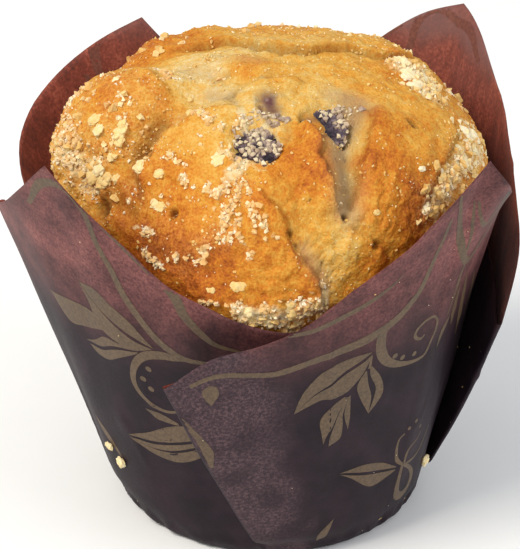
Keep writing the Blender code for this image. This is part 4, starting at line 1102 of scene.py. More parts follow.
def fine_rise(place, points, crumbly):
    """Height of the fine features over the broad shape, in millimetres."""
    bent = warped(place, points)
    rise = np.zeros(len(place))
    for line, height, run, cut in STEPS:
        far, side, share = to_line(bent, line)
        ends = smooth_step(share / 0.12) * smooth_step((1.0 - share) / 0.12)
        raised = np.where(side * np.sign(height) > 0, np.exp(-far / run) * smooth_step(far / 0.55), 0.0)
        trench = np.exp(-(far / 0.55) ** 2)
        rise += ends * (abs(height) * raised - cut * trench)
    for line, width, depth in GROOVES:
        far, _, share = to_line(bent, line)
        ends = smooth_step(share / 0.15) * smooth_step((1.0 - share) / 0.15)
        rise -= ends * depth * np.exp(-(far / width) ** 2)
    for (a, b), radius, depth in PITS:
        far = np.hypot(bent[:, 0] - a, bent[:, 1] - b) / radius
        rise -= depth * np.exp(-far ** 4)
    for a, b, radius, height in SWELLS:
        far = np.hypot(place[:, 0] - a, place[:, 1] - b) / radius
        rise += height * np.exp(-far ** 2)
    rise += 0.45 * noise_at(points, 6.5, 21) + 0.40 * noise_at(points, 3.0, 22)
    rise += (0.22 + 0.28 * crumbly) * noise_at(points, 1.6, 23) + (0.15 + 0.20 * crumbly) * noise_at(points, 0.95, 24)
    blister = np.abs(noise_at(points, 2.3, 25))
    rise -= 0.32 * np.exp(-(blister / 0.10) ** 2) * smooth_step(0.5 + noise_at(points, 7.0, 26))
    grains = np.zeros(len(place))
    rough = crumbly > 0.04
    grains[rough] = 0.6 * cell_bumps(points[rough], 1.7) + 0.4 * cell_bumps(points[rough], 0.9)
    return rise + crumbly * grains


# %% Build the cake
GRID = 294


def disc_map(count):
    """A square grid bent onto a disc of radius 1, so that its cells stay even."""
    line = np.linspace(-1.0, 1.0, count + 1)
    x, y = np.meshgrid(line, line, indexing="ij")
    wide = np.abs(x) > np.abs(y)
    safe_x, safe_y = np.where(x == 0.0, 1.0, x), np.where(y == 0.0, 1.0, y)
    turn = np.where(wide, math.pi / 4 * y / safe_x, math.pi / 2 - math.pi / 4 * x / safe_y)
    reach = np.where(wide, x, y)
    return np.stack([reach * np.cos(turn), reach * np.sin(turn)], -1)


place = (disc_map(GRID) * MAP_RADIUS / MM).reshape(-1, 2)
plain = from_map(place)
crumbly = bands(place, CRUMBLY) * smooth_step(0.9 + 1.2 * noise_at(plain, 4.0, 31))
# How much of each berry the crust leaves open, as a share of its radius, how deep that opening is and
# how far it lies from the middle, in millimetres.
OPENINGS = ((0.86, 1.5, (0.0, 0.4)), (0.72, 1.5, (-1.4, 0.3)), (0.55, 0.75, (-0.2, -1.4)))
SWELLS_ROUND = (0.3, 0.2, 1.3)        # how far the crust swells over each berry, in millimetres
clump = smooth_step((noise_at(plain, 1.7, 51) + 0.24) / 0.30) * (0.75 + 0.5 * noise_at(plain, 0.8, 53))
strewn = np.clip((bands(warped(place, plain), SUGAR) * clump - 0.16) / 0.5, 0.0, 1.0)
crumbly = np.maximum(crumbly, 0.62 * strewn)
fade = smooth_step((plain[:, 2] - RIM_HEIGHT) / (DOME_BASE - RIM_HEIGHT))
out = dome_normal(plain)
fine = fine_rise(place, plain, crumbly)
crust = plain + out * ((broad_rise(plain) + MM * fine) * fade)[:, None] + CAKE_CENTRE * fade[:, None]
for centre, radius, (opening, drop, (shift_x, shift_y)), swell in zip(berry_centres, berry_radii, OPENINGS, SWELLS_ROUND):
    normal = dome_normal(centre[None] - CAKE_CENTRE)[0]
    away = crust - centre
    level = away @ normal
    across = np.linalg.norm(away - level[:, None] * normal, axis=1)
    uneven = 1.0 + 0.22 * noise_at(crust, 2.6, 41) + 0.14 * noise_at(crust, 1.1, 42)
    aside = away - np.array([shift_x, shift_y, 0.0]) * MM
    level = aside @ normal
    across_opening = np.linalg.norm(aside - level[:, None] * normal, axis=1)
    sink = drop * MM * np.exp(-(across_opening / (opening * radius * uneven)) ** 5)
    hump = swell * MM * np.exp(-(across / (1.25 * radius)) ** 2)
    near = np.linalg.norm(away, axis=1) < 3.0 * radius
    crust += normal * np.where(near, hump - sink, 0.0)[:, None]

index = np.arange((GRID + 1) ** 2).reshape(GRID + 1, GRID + 1)
faces = list(np.stack([index[:-1, :-1], index[1:, :-1], index[1:, 1:], index[:-1, 1:]], -1).reshape(-1, 4))
ring = np.concatenate([index[:-1, 0], index[-1, :-1], index[:0:-1, -1], index[0, :0:-1]])
foot_height = PAPER_SOLID + CLEARANCE
foot_radius = DISC_RADIUS - WALL_INSET
low_height = foot_height + (CORNER - WALL_INSET) * (1.0 - math.sin(WALL_LEAN))
points = [crust]
last = ring
for radius, height in ((cone_radius(low_height) - WALL_INSET, low_height), (foot_radius, foot_height)):
    turn = np.arctan2(plain[ring, 1], plain[ring, 0])
    start = sum(len(p) for p in points)
    points.append(np.stack([radius * np.cos(turn), radius * np.sin(turn), height + 0.0 * turn], -1))
    here = start + np.arange(len(ring))
    faces += list(np.stack([last, here, np.roll(here, -1), np.roll(last, -1)], -1))
    last = here
faces += list(np.stack([last, np.full(len(last), start + len(ring)), np.roll(last, -1)], -1))
points.append(np.array([[0.0, 0.0, foot_height]]))
cake_points = np.concatenate(points)
print("cake grid", cake_points.shape)

# %% [markdown]
# ## Crust and crumb finish
# A muffin's crust is browned sugar and flour: matt to satin, mottled at two scales, with pale specks of
# sugar about a third of a millimetre across. Its colour follows the bake value through a ramp from
# cream over golden yellow to orange brown. The granular crust is paler and pinker than the smooth skin.
# The specks and mottle also raise the bump, so raised grains are paler and the dips between them darker:
# the pale grains are real sugar, the darker dips are painted shade. Pits, cracks, the low side of each
# step and the painted shadow lines are darkened toward brown as painted shade too.

# %% Crust material
SPECK = 0.45       # mm, sugar and flour specks
MOTTLE = 1.7       # mm, bubbles just under the skin
PATCH = 6.0        # mm, uneven browning

crust_material, tree, shader = new_material(
    "baked muffin crust", {"IOR": 1.45, "Specular IOR Level": 0.24, "Subsurface Weight": 0.10,
                           "Subsurface Radius": (1.0, 0.5, 0.2), "Subsurface Scale": 1.2 * MM})
where = add(tree, "ShaderNodeTexCoord").outputs["Object"]
read = {name: add(tree, "ShaderNodeAttribute", attribute_name=name).outputs["Fac"]
        for name in ("bake", "crumbly", "stain", "raw", "cream", "depth")}
speck = add(tree, "ShaderNodeTexNoise", {"Vector": where, "Scale": per_metre(SPECK), "Detail": 2.0})
mottle = add(tree, "ShaderNodeTexNoise", {"Vector": where, "Scale": per_metre(MOTTLE), "Detail": 4.0,
                                          "Roughness": 0.65})
patch = add(tree, "ShaderNodeTexNoise", {"Vector": where, "Scale": per_metre(PATCH), "Detail": 3.0})
shift = None
baked = read["bake"]
# The speck and mottle that drive the bump also set the colour: raised grains paler, dips between them darker. The pale
# grains are real sugar; the darker dips are painted shade.
for texture, amount in ((speck, -0.60), (mottle, -0.75), (patch, 0.36)):
    shift = add(tree, "ShaderNodeMath", {0: texture.outputs["Fac"], 1: -0.5}, operation="ADD")
    baked = add(tree, "ShaderNodeMath", {0: shift.outputs[0], 1: amount, 2: baked}, operation="MULTIPLY_ADD").outputs[0]
brown = add(tree, "ShaderNodeValToRGB", {"Fac": baked})
brown.color_ramp.elements[0].position, brown.color_ramp.elements[0].color = 0.0, linear("#e3ca92")
brown.color_ramp.elements[1].position, brown.color_ramp.elements[1].color = 1.0, linear("#8c4410")
for position, colour in ((0.20, "#dbb362"), (0.42, "#d59b3c"), (0.64, "#c97d22"), (0.83, "#b26019")):
    brown.color_ramp.elements.new(position).color = linear(colour)
pale = add(tree, "ShaderNodeMapRange", {"Value": speck.outputs["Fac"], "From Min": 0.35, "From Max": 0.62})
pale_share = add(tree, "ShaderNodeMath", {0: pale.outputs["Result"], 1: read["crumbly"]}, operation="MULTIPLY")
pale_amount = add(tree, "ShaderNodeMath", {0: pale_share.outputs[0], 1: 0.36}, operation="MULTIPLY")
grainy = add(tree, "ShaderNodeMix", {0: pale_amount.outputs[0], 6: brown.outputs["Color"], 7: linear("#e2ba7c")},
             data_type="RGBA")
cream_edge = add(tree, "ShaderNodeMath", {0: mottle.outputs["Fac"], 1: 1.6, 2: -0.80}, operation="MULTIPLY_ADD")
cream_sum = add(tree, "ShaderNodeMath", {0: read["cream"], 1: cream_edge.outputs[0]}, operation="ADD")
cream_share = add(tree, "ShaderNodeMapRange", {"Value": cream_sum.outputs[0], "From Min": 0.30, "From Max": 0.75,
                                               "To Max": 0.9})
creamy = add(tree, "ShaderNodeMix", {0: cream_share.outputs["Result"], 6: grainy.outputs[2], 7: linear("#e3cfa0")},
             data_type="RGBA")
raw_share = add(tree, "ShaderNodeMath", {0: read["raw"], 1: 0.85}, operation="MULTIPLY")
opened = add(tree, "ShaderNodeMix", {0: raw_share.outputs[0], 6: creamy.outputs[2], 7: linear("#b09670")},
             data_type="RGBA")
juice = add(tree, "ShaderNodeMath", {0: mottle.outputs["Fac"], 1: 0.9, 2: -0.40}, operation="MULTIPLY_ADD")
juicy = add(tree, "ShaderNodeMath", {0: read["stain"], 1: juice.outputs[0]}, operation="ADD")
juice_share = add(tree, "ShaderNodeMath", {0: juicy.outputs[0], 1: read["stain"]}, operation="MULTIPLY", use_clamp=True)
stained = add(tree, "ShaderNodeMix", {0: juice_share.outputs[0], 6: opened.outputs[2], 7: linear("#65413f")},
              data_type="RGBA")
# Painted shade: the depth field darkens pits, cracks, the low side of steps and the painted shadow lines toward dark
# brown.
painted_hollow_shade = add(tree, "ShaderNodeMix", {0: read["depth"], 6: stained.outputs[2], 7: linear("#5a3312")}, data_type="RGBA")
tree.links.new(painted_hollow_shade.outputs[2], shader.inputs["Base Color"])
gloss = add(tree, "ShaderNodeMapRange", {"Value": mottle.outputs["Fac"], "To Min": 0.50, "To Max": 0.78})
tree.links.new(gloss.outputs["Result"], shader.inputs["Roughness"])
height = add(tree, "ShaderNodeMath", {0: speck.outputs["Fac"], 1: 0.5, 2: mottle.outputs["Fac"]},
             operation="MULTIPLY_ADD")
relief = add(tree, "ShaderNodeBump", {"Height": height.outputs[0], "Strength": 1.0, "Distance": 0.45 * MM})
tree.links.new(relief.outputs["Normal"], shader.inputs["Normal"])

# %% Cake piece
cake = mesh_object("cake_crust", cake_points, faces, [crust_material])
tail = len(cake_points) - len(crust)
bake = spots(warped(place, plain), BAKE, 0.55, 0.05)
raised = np.clip(fine, -1.5, 1.5)
# Painted shade in the hollows: pits, the crack at each step's foot, the low side behind each step, and the painted
# shadow lines.
depth = np.zeros(len(place))
for (a, b), radius, _ in PITS:
    depth = np.maximum(depth, np.exp(-(np.hypot(place[:, 0] - a, place[:, 1] - b) / (0.9 * radius)) ** 4))
for line, width, amount in PAINTED_SHADOWS:
    depth = np.maximum(depth, amount * np.exp(-(to_line(warped(place, plain), line)[0] / width) ** 2))
for line, height, run, trench in STEPS:
    far, side, share = to_line(warped(place, plain), line)
    ends = smooth_step(share / 0.12) * smooth_step((1.0 - share) / 0.12)
    low = side * np.sign(height) < 0
    depth = np.maximum(depth, min(trench, 1.0) * ends * np.maximum(np.exp(-(far / 0.55) ** 2),
                                                                   0.34 * low * np.exp(-(far / 1.7) ** 2)))
    bake += 0.12 * ends * ~low * np.exp(-(far / 1.1) ** 2)
for name, values in (("bake", np.clip(bake + 0.05 * raised, 0.0, 1.1)), ("crumbly", crumbly),
                     ("stain", bands(warped(place, plain), STAIN)), ("raw", bands(warped(place, plain), RAW)),
                     ("cream", np.maximum(bands(warped(place, plain), CREAM), 0.7 * strewn)), ("depth", 0.8 * depth)):
    store(cake, name, np.append(values, np.zeros(tail)))
print("cake", triangles(cake), "triangles")

# %% [markdown]
# ## Scattered grains
# Coarse sugar and butter crumbs lie thickly in some places and hardly at all in others. One Geometry
# Nodes tree serves every kind of grain: it strews points over a surface no closer than a set spacing,
# thinned by a field that says where grains lie, puts a small ball on each and crumples it with noise.
# The tree's inputs are the spacing, density, sizes, roughness and seed.

# %% Scatter tree
def scatter_tree():
    """Points on a surface, a crumpled grain on each, made real and given a material."""
    tree = bpy.data.node_groups.new("scatter grains", "GeometryNodeTree")
    sockets = (("Surface", "NodeSocketGeometry"), ("Where", "NodeSocketFloat"), ("Spacing", "NodeSocketFloat"),
               ("Density", "NodeSocketFloat"), ("Smallest", "NodeSocketFloat"), ("Largest", "NodeSocketFloat"),
               ("Jag", "NodeSocketFloat"), ("Lift", "NodeSocketFloat"), ("Seed", "NodeSocketInt"),
               ("Finish", "NodeSocketMaterial"))
    for name, kind in sockets:
        tree.interface.new_socket(name, in_out="INPUT", socket_type=kind)
    tree.interface.new_socket("Grains", in_out="OUTPUT", socket_type="NodeSocketGeometry")
    given = add(tree, "NodeGroupInput").outputs
    strewn = add(tree, "GeometryNodeDistributePointsOnFaces",
                 {"Mesh": given["Surface"], "Distance Min": given["Spacing"], "Density Max": given["Density"],
                  "Density Factor": given["Where"], "Seed": given["Seed"]}, distribute_method="POISSON")
    chance = add(tree, "FunctionNodeRandomValue", {"Seed": given["Seed"]}, data_type="FLOAT")
    skewed = add(tree, "ShaderNodeMath", {0: chance.outputs[1], 1: 2.0}, operation="POWER")
    size = add(tree, "ShaderNodeMapRange", {"Value": skewed.outputs[0], "To Min": given["Smallest"],
                                            "To Max": given["Largest"]})
    raise_by = add(tree, "ShaderNodeMath", {0: size.outputs["Result"], 1: given["Lift"]}, operation="MULTIPLY")
    up = add(tree, "ShaderNodeVectorMath", {0: strewn.outputs["Normal"], "Scale": raise_by.outputs[0]},
             operation="SCALE")
    lifted = add(tree, "GeometryNodeSetPosition", {"Geometry": strewn.outputs["Points"], "Offset": up.outputs[0]})
    ball = add(tree, "GeometryNodeMeshIcoSphere", {"Radius": 1.0, "Subdivisions": 1})
    turn = add(tree, "FunctionNodeRandomValue", {"Seed": given["Seed"]}, data_type="FLOAT_VECTOR")
    turn.inputs[1].default_value = (math.tau, math.tau, math.tau)
    squash = add(tree, "FunctionNodeRandomValue", {"Seed": given["Seed"]}, data_type="FLOAT_VECTOR")
    squash.inputs[0].default_value = (0.7, 0.7, 0.6)
    squash.inputs[1].default_value = (1.25, 1.15, 1.0)
    scale = add(tree, "ShaderNodeVectorMath", {0: squash.outputs[0], "Scale": size.outputs["Result"]},
                operation="SCALE")
    grains = add(tree, "GeometryNodeInstanceOnPoints",
                 {"Points": lifted.outputs["Geometry"], "Instance": ball.outputs["Mesh"],
                  "Rotation": turn.outputs[0], "Scale": scale.outputs[0]})
    tone = add(tree, "FunctionNodeRandomValue", {"Seed": given["Seed"]}, data_type="FLOAT")
    marked = add(tree, "GeometryNodeStoreNamedAttribute",
                 {"Geometry": grains.outputs["Instances"], "Name": "tone", "Value": tone.outputs[1]},
                 data_type="FLOAT", domain="INSTANCE")
    real = add(tree, "GeometryNodeRealizeInstances", {"Geometry": marked.outputs["Geometry"]})
    rough = add(tree, "ShaderNodeTexNoise", {"Scale": per_metre(0.5), "Detail": 1.0})
    centred = add(tree, "ShaderNodeVectorMath", {0: rough.outputs["Color"], 1: (0.5, 0.5, 0.5)},
                  operation="SUBTRACT")
    jag = add(tree, "ShaderNodeVectorMath", {0: centred.outputs[0], "Scale": given["Jag"]}, operation="SCALE")
    crumpled = add(tree, "GeometryNodeSetPosition", {"Geometry": real.outputs["Geometry"], "Offset": jag.outputs[0]})
    smooth = add(tree, "GeometryNodeSetShadeSmooth", {"Geometry": crumpled.outputs["Geometry"], "Shade Smooth": False})
    finished = add(tree, "GeometryNodeSetMaterial", {"Geometry": smooth.outputs[0], "Material": given["Finish"]})
    add(tree, "NodeGroupOutput", {"Grains": finished.outputs["Geometry"]})
    return tree


SCATTER = scatter_tree()


def scatter(name, surface, where, finish, **values):
    """Runs the scatter tree over a copy of a surface and keeps the grains as a plain mesh."""
    source = surface.copy()
    source.data = surface.data.copy()
    source.modifiers.clear()
    bpy.context.scene.collection.objects.link(source)
    modifier = source.modifiers.new("scatter", "NODES")
    modifier.node_group = SCATTER
    identifier = {item.name: item.identifier for item in SCATTER.interface.items_tree if item.in_out == "INPUT"}
    modifier[identifier["Where"] + "_use_attribute"] = True
    modifier[identifier["Where"] + "_attribute_name"] = where
    modifier[identifier["Finish"]] = finish
    for key, value in values.items():
        modifier[identifier[key]] = value
    shaped = source.evaluated_get(bpy.context.evaluated_depsgraph_get())
    mesh = bpy.data.meshes.new_from_object(shaped)
    mesh.name = name
    made = bpy.data.objects.new(name, mesh)
    bpy.context.scene.collection.objects.link(made)
    bpy.data.objects.remove(source)
    print(name, triangles(made), "triangles")
    return made


# %% Grain materials
def grain_material(name, tones, roughness, subsurface):
    """A crumb or sugar finish whose tone differs from grain to grain and within each grain."""
    made, tree, shader = new_material(name, {"IOR": 1.5, "Roughness": roughness,
                                             "Subsurface Weight": subsurface, "Subsurface Scale": 0.8 * MM,
                                             "Subsurface Radius": (1.0, 0.7, 0.4)})
    where = add(tree, "ShaderNodeTexCoord").outputs["Object"]
    tone = add(tree, "ShaderNodeAttribute", attribute_name="tone").outputs["Fac"]
    fleck = add(tree, "ShaderNodeTexNoise", {"Vector": where, "Scale": per_metre(0.6), "Detail": 3.0})
    mixed = add(tree, "ShaderNodeMath", {0: fleck.outputs["Fac"], 1: 0.9, 2: -0.45}, operation="MULTIPLY_ADD")
    total = add(tree, "ShaderNodeMath", {0: tone, 1: mixed.outputs[0]}, operation="ADD")
    ramp = add(tree, "ShaderNodeValToRGB", {"Fac": total.outputs[0]})
    ramp.color_ramp.elements[0].color = linear(tones[0])
    ramp.color_ramp.elements[1].color = linear(tones[-1])
    for i, tint in enumerate(tones[1:-1], start=1):
        ramp.color_ramp.elements.new(i / (len(tones) - 1)).color = linear(tint)
    tree.links.new(ramp.outputs["Color"], shader.inputs["Base Color"])
    relief = add(tree, "ShaderNodeBump", {"Height": fleck.outputs["Fac"], "Strength": 0.6, "Distance": 0.12 * MM})
    tree.links.new(relief.outputs["Normal"], shader.inputs["Normal"])
    return made


sugar_material = grain_material("coarse sugar and flour grains", ("#f5e8cc", "#efdab0", "#e8c68e", "#dbab66"), 0.55, 0.12)
crumb_material = grain_material("butter crumb", ("#f4e6c2", "#eed8a4", "#e6c682", "#d8a95a"), 0.7, 0.1)
stained_material = grain_material("juice-stained crumb", ("#e6d6b2", "#d8c6a2", "#c2ac90", "#a08878"), 0.6, 0.08)

# %% [markdown]
# Where the grains lie is a map of bands and patches, broken up by noise into clumps. Three fields are
# kept on the cake: fine sugar grains, larger crumbs, and the thick drifts at the right edge.

# %% Where sugar and crumbs lie
JUICY = ((((-5.2, -22.4), (-3.4, -21.2), (-1.2, -21.8)), 1.5, 1.0), (((-0.4, -21.2), (1.4, -22.0)), 0.9, 0.9),
         (((-6.9, -24.0), (-7.0, -30.0)), 0.9, 0.7), (((9.6, -17.6), (13.4, -18.6)), 1.3, 0.9),
         (((-5.2, -31.0), (-2.8, -32.2)), 0.8, 0.4))
DRIFTS = ((((22.0, 0.5), (25.5, 2.0), (27.4, -1.5), (25.8, -5.8)), 2.8, 1.0),
          (((38.6, -6.0), (36.4, -14.0), (32.6, -23.0), (30.6, -30.0)), 2.8, 0.9), (((29.4, -31.4), (28.6, -29.0)), 1.0, 0.8),
          (((-37.0, -14.0), (-35.0, -19.0), (-31.0, -22.0)), 4.0, 0.24), (((-30.0, -9.0), (-26.0, -17.0)), 4.0, 0.12),
          (((-4.0, -57.8), (4.0, -58.4), (9.6, -55.4)), 1.8, 0.7), (((-20.0, 24.0), (4.0, 32.0), (26.0, 18.0)), 9.0, 0.07),
          (((-22.0, 10.0), (-6.0, 16.0)), 4.0, 0.08))

store(cake, "sugar", np.append(strewn, np.zeros(tail)))
store(cake, "drift", np.append(bands(warped(place, plain), DRIFTS) * smooth_step((noise_at(plain, 2.4, 52) + 0.5) / 0.4),
                               np.zeros(tail)))
sugar = scatter("sugar_grains", cake, "sugar", sugar_material, Spacing=0.42 * MM, Density=1.6e7, Smallest=0.28 * MM,
                Largest=0.62 * MM, Jag=1.3 * MM, Lift=0.0, Seed=3)
fine_field = np.clip(0.07 + 0.5 * crumbly + 0.75 * noise_at(plain, 3.4, 54), 0.0, 1.0) * (1.0 - 0.9 * np.clip(strewn, 0, 1))
store(cake, "fine", np.append(fine_field * fade, np.zeros(tail)))
juicy = np.clip(1.8 * bands(warped(place, plain), JUICY) - 0.7, 0.0, 1.0)
store(cake, "juicy", np.append(juicy, np.zeros(tail)))
fine_sugar = scatter("fine_sugar", cake, "fine", crumb_material, Spacing=0.62 * MM, Density=6.0e6, Smallest=0.11 * MM,
                     Largest=0.34 * MM, Jag=0.8 * MM, Lift=0.0, Seed=5)
juice_crumbs = scatter("juice_crumbs", cake, "juicy", stained_material, Spacing=0.62 * MM, Density=8.0e6,
                       Smallest=0.30 * MM, Largest=0.70 * MM, Jag=1.2 * MM, Lift=0.0, Seed=6)
crumbs = scatter("butter_crumbs", cake, "drift", crumb_material, Spacing=0.80 * MM, Density=3.0e6, Smallest=0.42 * MM,
                 Largest=1.0 * MM, Jag=1.8 * MM, Lift=0.1, Seed=8)

# %% [markdown]
# ## Crumb lumps
# The biggest crumbs are knobbly nuggets of butter and sugar, two to five millimetres across. They are few
# and each shows, so each is placed one by one on the map, sunk a little into the crust, and given its own
# shape by pushing a fine ball about with noise at two sizes.

# %% Lumps
# Each lump: map place and radius, in millimetres.
LUMPS = (
    (-30.0, -15.0, 1.5), (-29.8, -16.5, 1.2), (-27.1, -18.3, 1.5), (-27.6, -19.5, 1.1), (-26.3, -17.3, 0.9), (-34.0, -22.2, 2.2), (-32.6, -23.0, 1.5), (-34.9, -20.9, 1.6), (-33.0, -21.0, 1.4), (-34.5, -18.8, 1.35), (-29.7, -21.3, 0.8),
    (-25.3, -14.4, 0.6), (-25.7, -9.4, 0.8), (-15.1, -16.9, 0.7), (-15.7, -12.3, 0.6), (-12.6, -20.8, 0.7),
    (-9.9, -29.6, 1.25), (-20.8, -29.1, 0.9), (-24.3, -26.4, 1.1), (-30.1, -24.8, 0.8), (-22.8, -33.4, 1.3), (-22.0, -34.2, 0.9),
    (-8.5, -51.1, 1.2), (-14.8, -50.6, 0.8), (3.4, -54.8, 1.0), (9.4, -53.6, 1.2), (7.2, -55.2, 1.2), (10.8, -52.4, 1.0), (4.6, -56.2, 1.1),
    (0.4, -58.2, 1.1), (-3.0, -57.8, 1.1), (3.2, -58.2, 1.0), (6.4, -57.4, 1.1), (-5.8, -57.2, 0.9), (-6.0, -55.8, 0.9), (33.4, 6.0, 1.5), (25.6, -25.7, 0.6),
    (18.9, -36.2, 0.55), (29.2, -30.6, 1.3), (-17.4, -28.0, 0.7), (-32.0, -20.0, 0.9), (21.4, 1.0, 1.3),
    (23.2, 2.8, 1.4), (25.6, 3.2, 1.5), (27.6, 1.2, 1.4), (27.9, -2.2, 1.5), (27.0, -5.8, 1.4), (25.0, -4.2, 1.5),
    (23.4, -1.6, 1.7), (25.8, -0.6, 1.8), (24.2, -6.2, 1.3), (22.6, -3.6, 1.2), (37.8, -14.0, 1.1), (35.6, -16.4, 1.2),
    (34.2, -18.8, 1.1), (33.2, -21.4, 1.2), (32.4, -24.2, 1.0), (36.4, -10.2, 1.3), (34.4, -9.8, 1.2), (36.8, -7.8, 1.4), (38.8, -8.2, 1.3), (37.6, -11.2, 1.3),
    (35.0, -12.6, 1.3), (33.4, -15.4, 1.1), (39.8, -4.6, 1.0), (30.4, -22.6, 1.0), (-9.9, 20.0, 1.1),
    (-20.4, 12.6, 1.0), (8.0, 34.0, 1.6), (-16.0, 32.0, 1.4), (25.0, 26.0, 1.5), (-30.0, 24.0, 1.5), (2.0, 46.0, 1.4))
PALE_FROM = 20.0        # the lumps further right than this are paler, in map millimetres
LUMP_SINK = -0.22      # how far a lump's middle stands off the crust, as a share of its radius


def nugget(centre, normal, radius, seed):
    """A flattened nugget of fused knobs: its points, and its faces."""
    bm = bmesh.new()
    bmesh.ops.create_icosphere(bm, subdivisions=4, radius=1.0)
    ball = np.array([vert.co for vert in bm.verts])
    faces = np.array([[vert.index for vert in face.verts] for face in bm.faces])
    bm.free()
    generator = np.random.default_rng(seed)
    stretch = generator.uniform(0.8, 1.2, 3)
    places = ball * radius + generator.uniform(-50.0, 50.0, 3) * MM
    uneven = 0.45 * noise_at(places, 1.3 * radius / MM, seed) + 0.22 * noise_at(places, 0.5 * radius / MM, seed + 1)
    knob_size = min(1.15, 0.75 * radius / MM)
    knobs = 0.34 * knob_size * MM * cell_bumps(places, knob_size)
    shaped = ball * stretch * (radius * (0.92 + 0.8 * uneven) + knobs)[:, None]
    return centre + shaped - 0.52 * (shaped @ normal)[:, None] * normal, faces


def crust_at(a, b):
    """The finished crust's nearest grid point to a map place, and the dome's normal there."""
    nearest = int(np.argmin((place[:, 0] - a) ** 2 + (place[:, 1] - b) ** 2))
    return crust[nearest], out[nearest]


lump_points, lump_faces, start = [], [], 0
for number, (a, b, radius) in enumerate(LUMPS):
    surface_point, normal = crust_at(a, b)
    knobs, ball_faces = nugget(surface_point + normal * LUMP_SINK * radius * MM, normal, radius * MM, 60 + number)
    lump_points.append(knobs)
    lump_faces.append(ball_faces + start)
    start += len(knobs)
lumps = mesh_object("crumb_lumps", np.concatenate(lump_points), np.concatenate(lump_faces), [crumb_material])
generator = np.random.default_rng(9)
lump_tones = generator.uniform(0.35, 0.75, len(LUMPS))
lump_tones[np.array(LUMPS)[:, 0] > PALE_FROM] -= 0.35
store(lumps, "tone", np.repeat(lump_tones, len(lump_points[0])))
print("lumps", triangles(lumps), "triangles")

# %% [markdown]
# ## Burst berries
# A blueberry in a hot batter bursts: its skin wrinkles and sinks, its juice boils out and dries on the
# crumb, and grains of crumb stick to it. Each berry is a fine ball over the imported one, sunk in at the
# top and pulled into wrinkles. Stained grains are scattered on its open top by the same tree as before.

# %% Berry material
berry_material, tree, shader = new_material(
    "baked berry skin", {"IOR": 1.42, "Coat Weight": 0.08, "Coat Roughness": 0.35, "Specular IOR Level": 0.4})
where = add(tree, "ShaderNodeTexCoord").outputs["Object"]
pulp = add(tree, "ShaderNodeAttribute", attribute_name="pulp").outputs["Fac"]
browned = add(tree, "ShaderNodeAttribute", attribute_name="browned").outputs["Fac"]
bloom = add(tree, "ShaderNodeTexNoise", {"Vector": where, "Scale": per_metre(0.9), "Detail": 4.0, "Roughness": 0.65})
uneven = add(tree, "ShaderNodeMath", {0: bloom.outputs["Fac"], 1: 0.7, 2: -0.35}, operation="MULTIPLY_ADD")
total = add(tree, "ShaderNodeMath", {0: pulp, 1: uneven.outputs[0]}, operation="ADD")
skin = add(tree, "ShaderNodeValToRGB", {"Fac": total.outputs[0]})
skin.color_ramp.elements[0].position, skin.color_ramp.elements[0].color = 0.0, linear("#17111a")
skin.color_ramp.elements[1].position, skin.color_ramp.elements[1].color = 1.0, linear("#bba988")
for position, colour in ((0.25, "#372b38"), (0.50, "#6e5e62"), (0.75, "#978479")):
    skin.color_ramp.elements.new(position).color = linear(colour)
tanned = add(tree, "ShaderNodeMix", {0: browned, 6: skin.outputs["Color"], 7: linear("#8e6452")}, data_type="RGBA")
tree.links.new(tanned.outputs[2], shader.inputs["Base Color"])
dry = add(tree, "ShaderNodeMapRange", {"Value": bloom.outputs["Fac"], "To Min": 0.38, "To Max": 0.68})
tree.links.new(dry.outputs["Result"], shader.inputs["Roughness"])
relief = add(tree, "ShaderNodeBump", {"Height": bloom.outputs["Fac"], "Strength": 0.8, "Distance": 0.25 * MM})
tree.links.new(relief.outputs["Normal"], shader.inputs["Normal"])

# %% Berry pieces
SINK = (0.22, 0.42, 0.10)      # how far each berry's top has fallen in, as a share of its radius
PALE = (1.0, 0.62, 0.55)      # how pale its pulp has dried
BROWNED = (0.10, 0.0, 0.60)     # how much crust colour it has taken
GRAINED = (1.0, 0.70)          # how thickly stained grains lie on the first two
# Where each berry stays dark: (across, up, reach), in shares of its radius as seen from the front.
DARK = (((-0.58, 0.50, 0.24), (-0.66, -0.05, 0.27), (-0.24, -0.62, 0.34), (0.12, -0.86, 0.32), (0.50, -0.42, 0.29),
         (0.70, 0.50, 0.22), (0.0, 0.05, 0.13)),
        ((-0.72, 0.30, 0.30), (-0.22, -0.10, 0.36), (0.02, -0.42, 0.30), (-0.4, 0.1, 0.26)),
        ((-0.45, -0.45, 0.30), (-0.1, -0.75, 0.28)))


def berry_axes(centre):
    """The berry's outward, across and up directions."""
    outward = dome_normal((centre - CAKE_CENTRE)[None])[0]
    across = np.array([1.0, 0.0, 0.0]) - outward[0] * outward
    across /= np.linalg.norm(across)
    return outward, across, np.cross(outward, across)


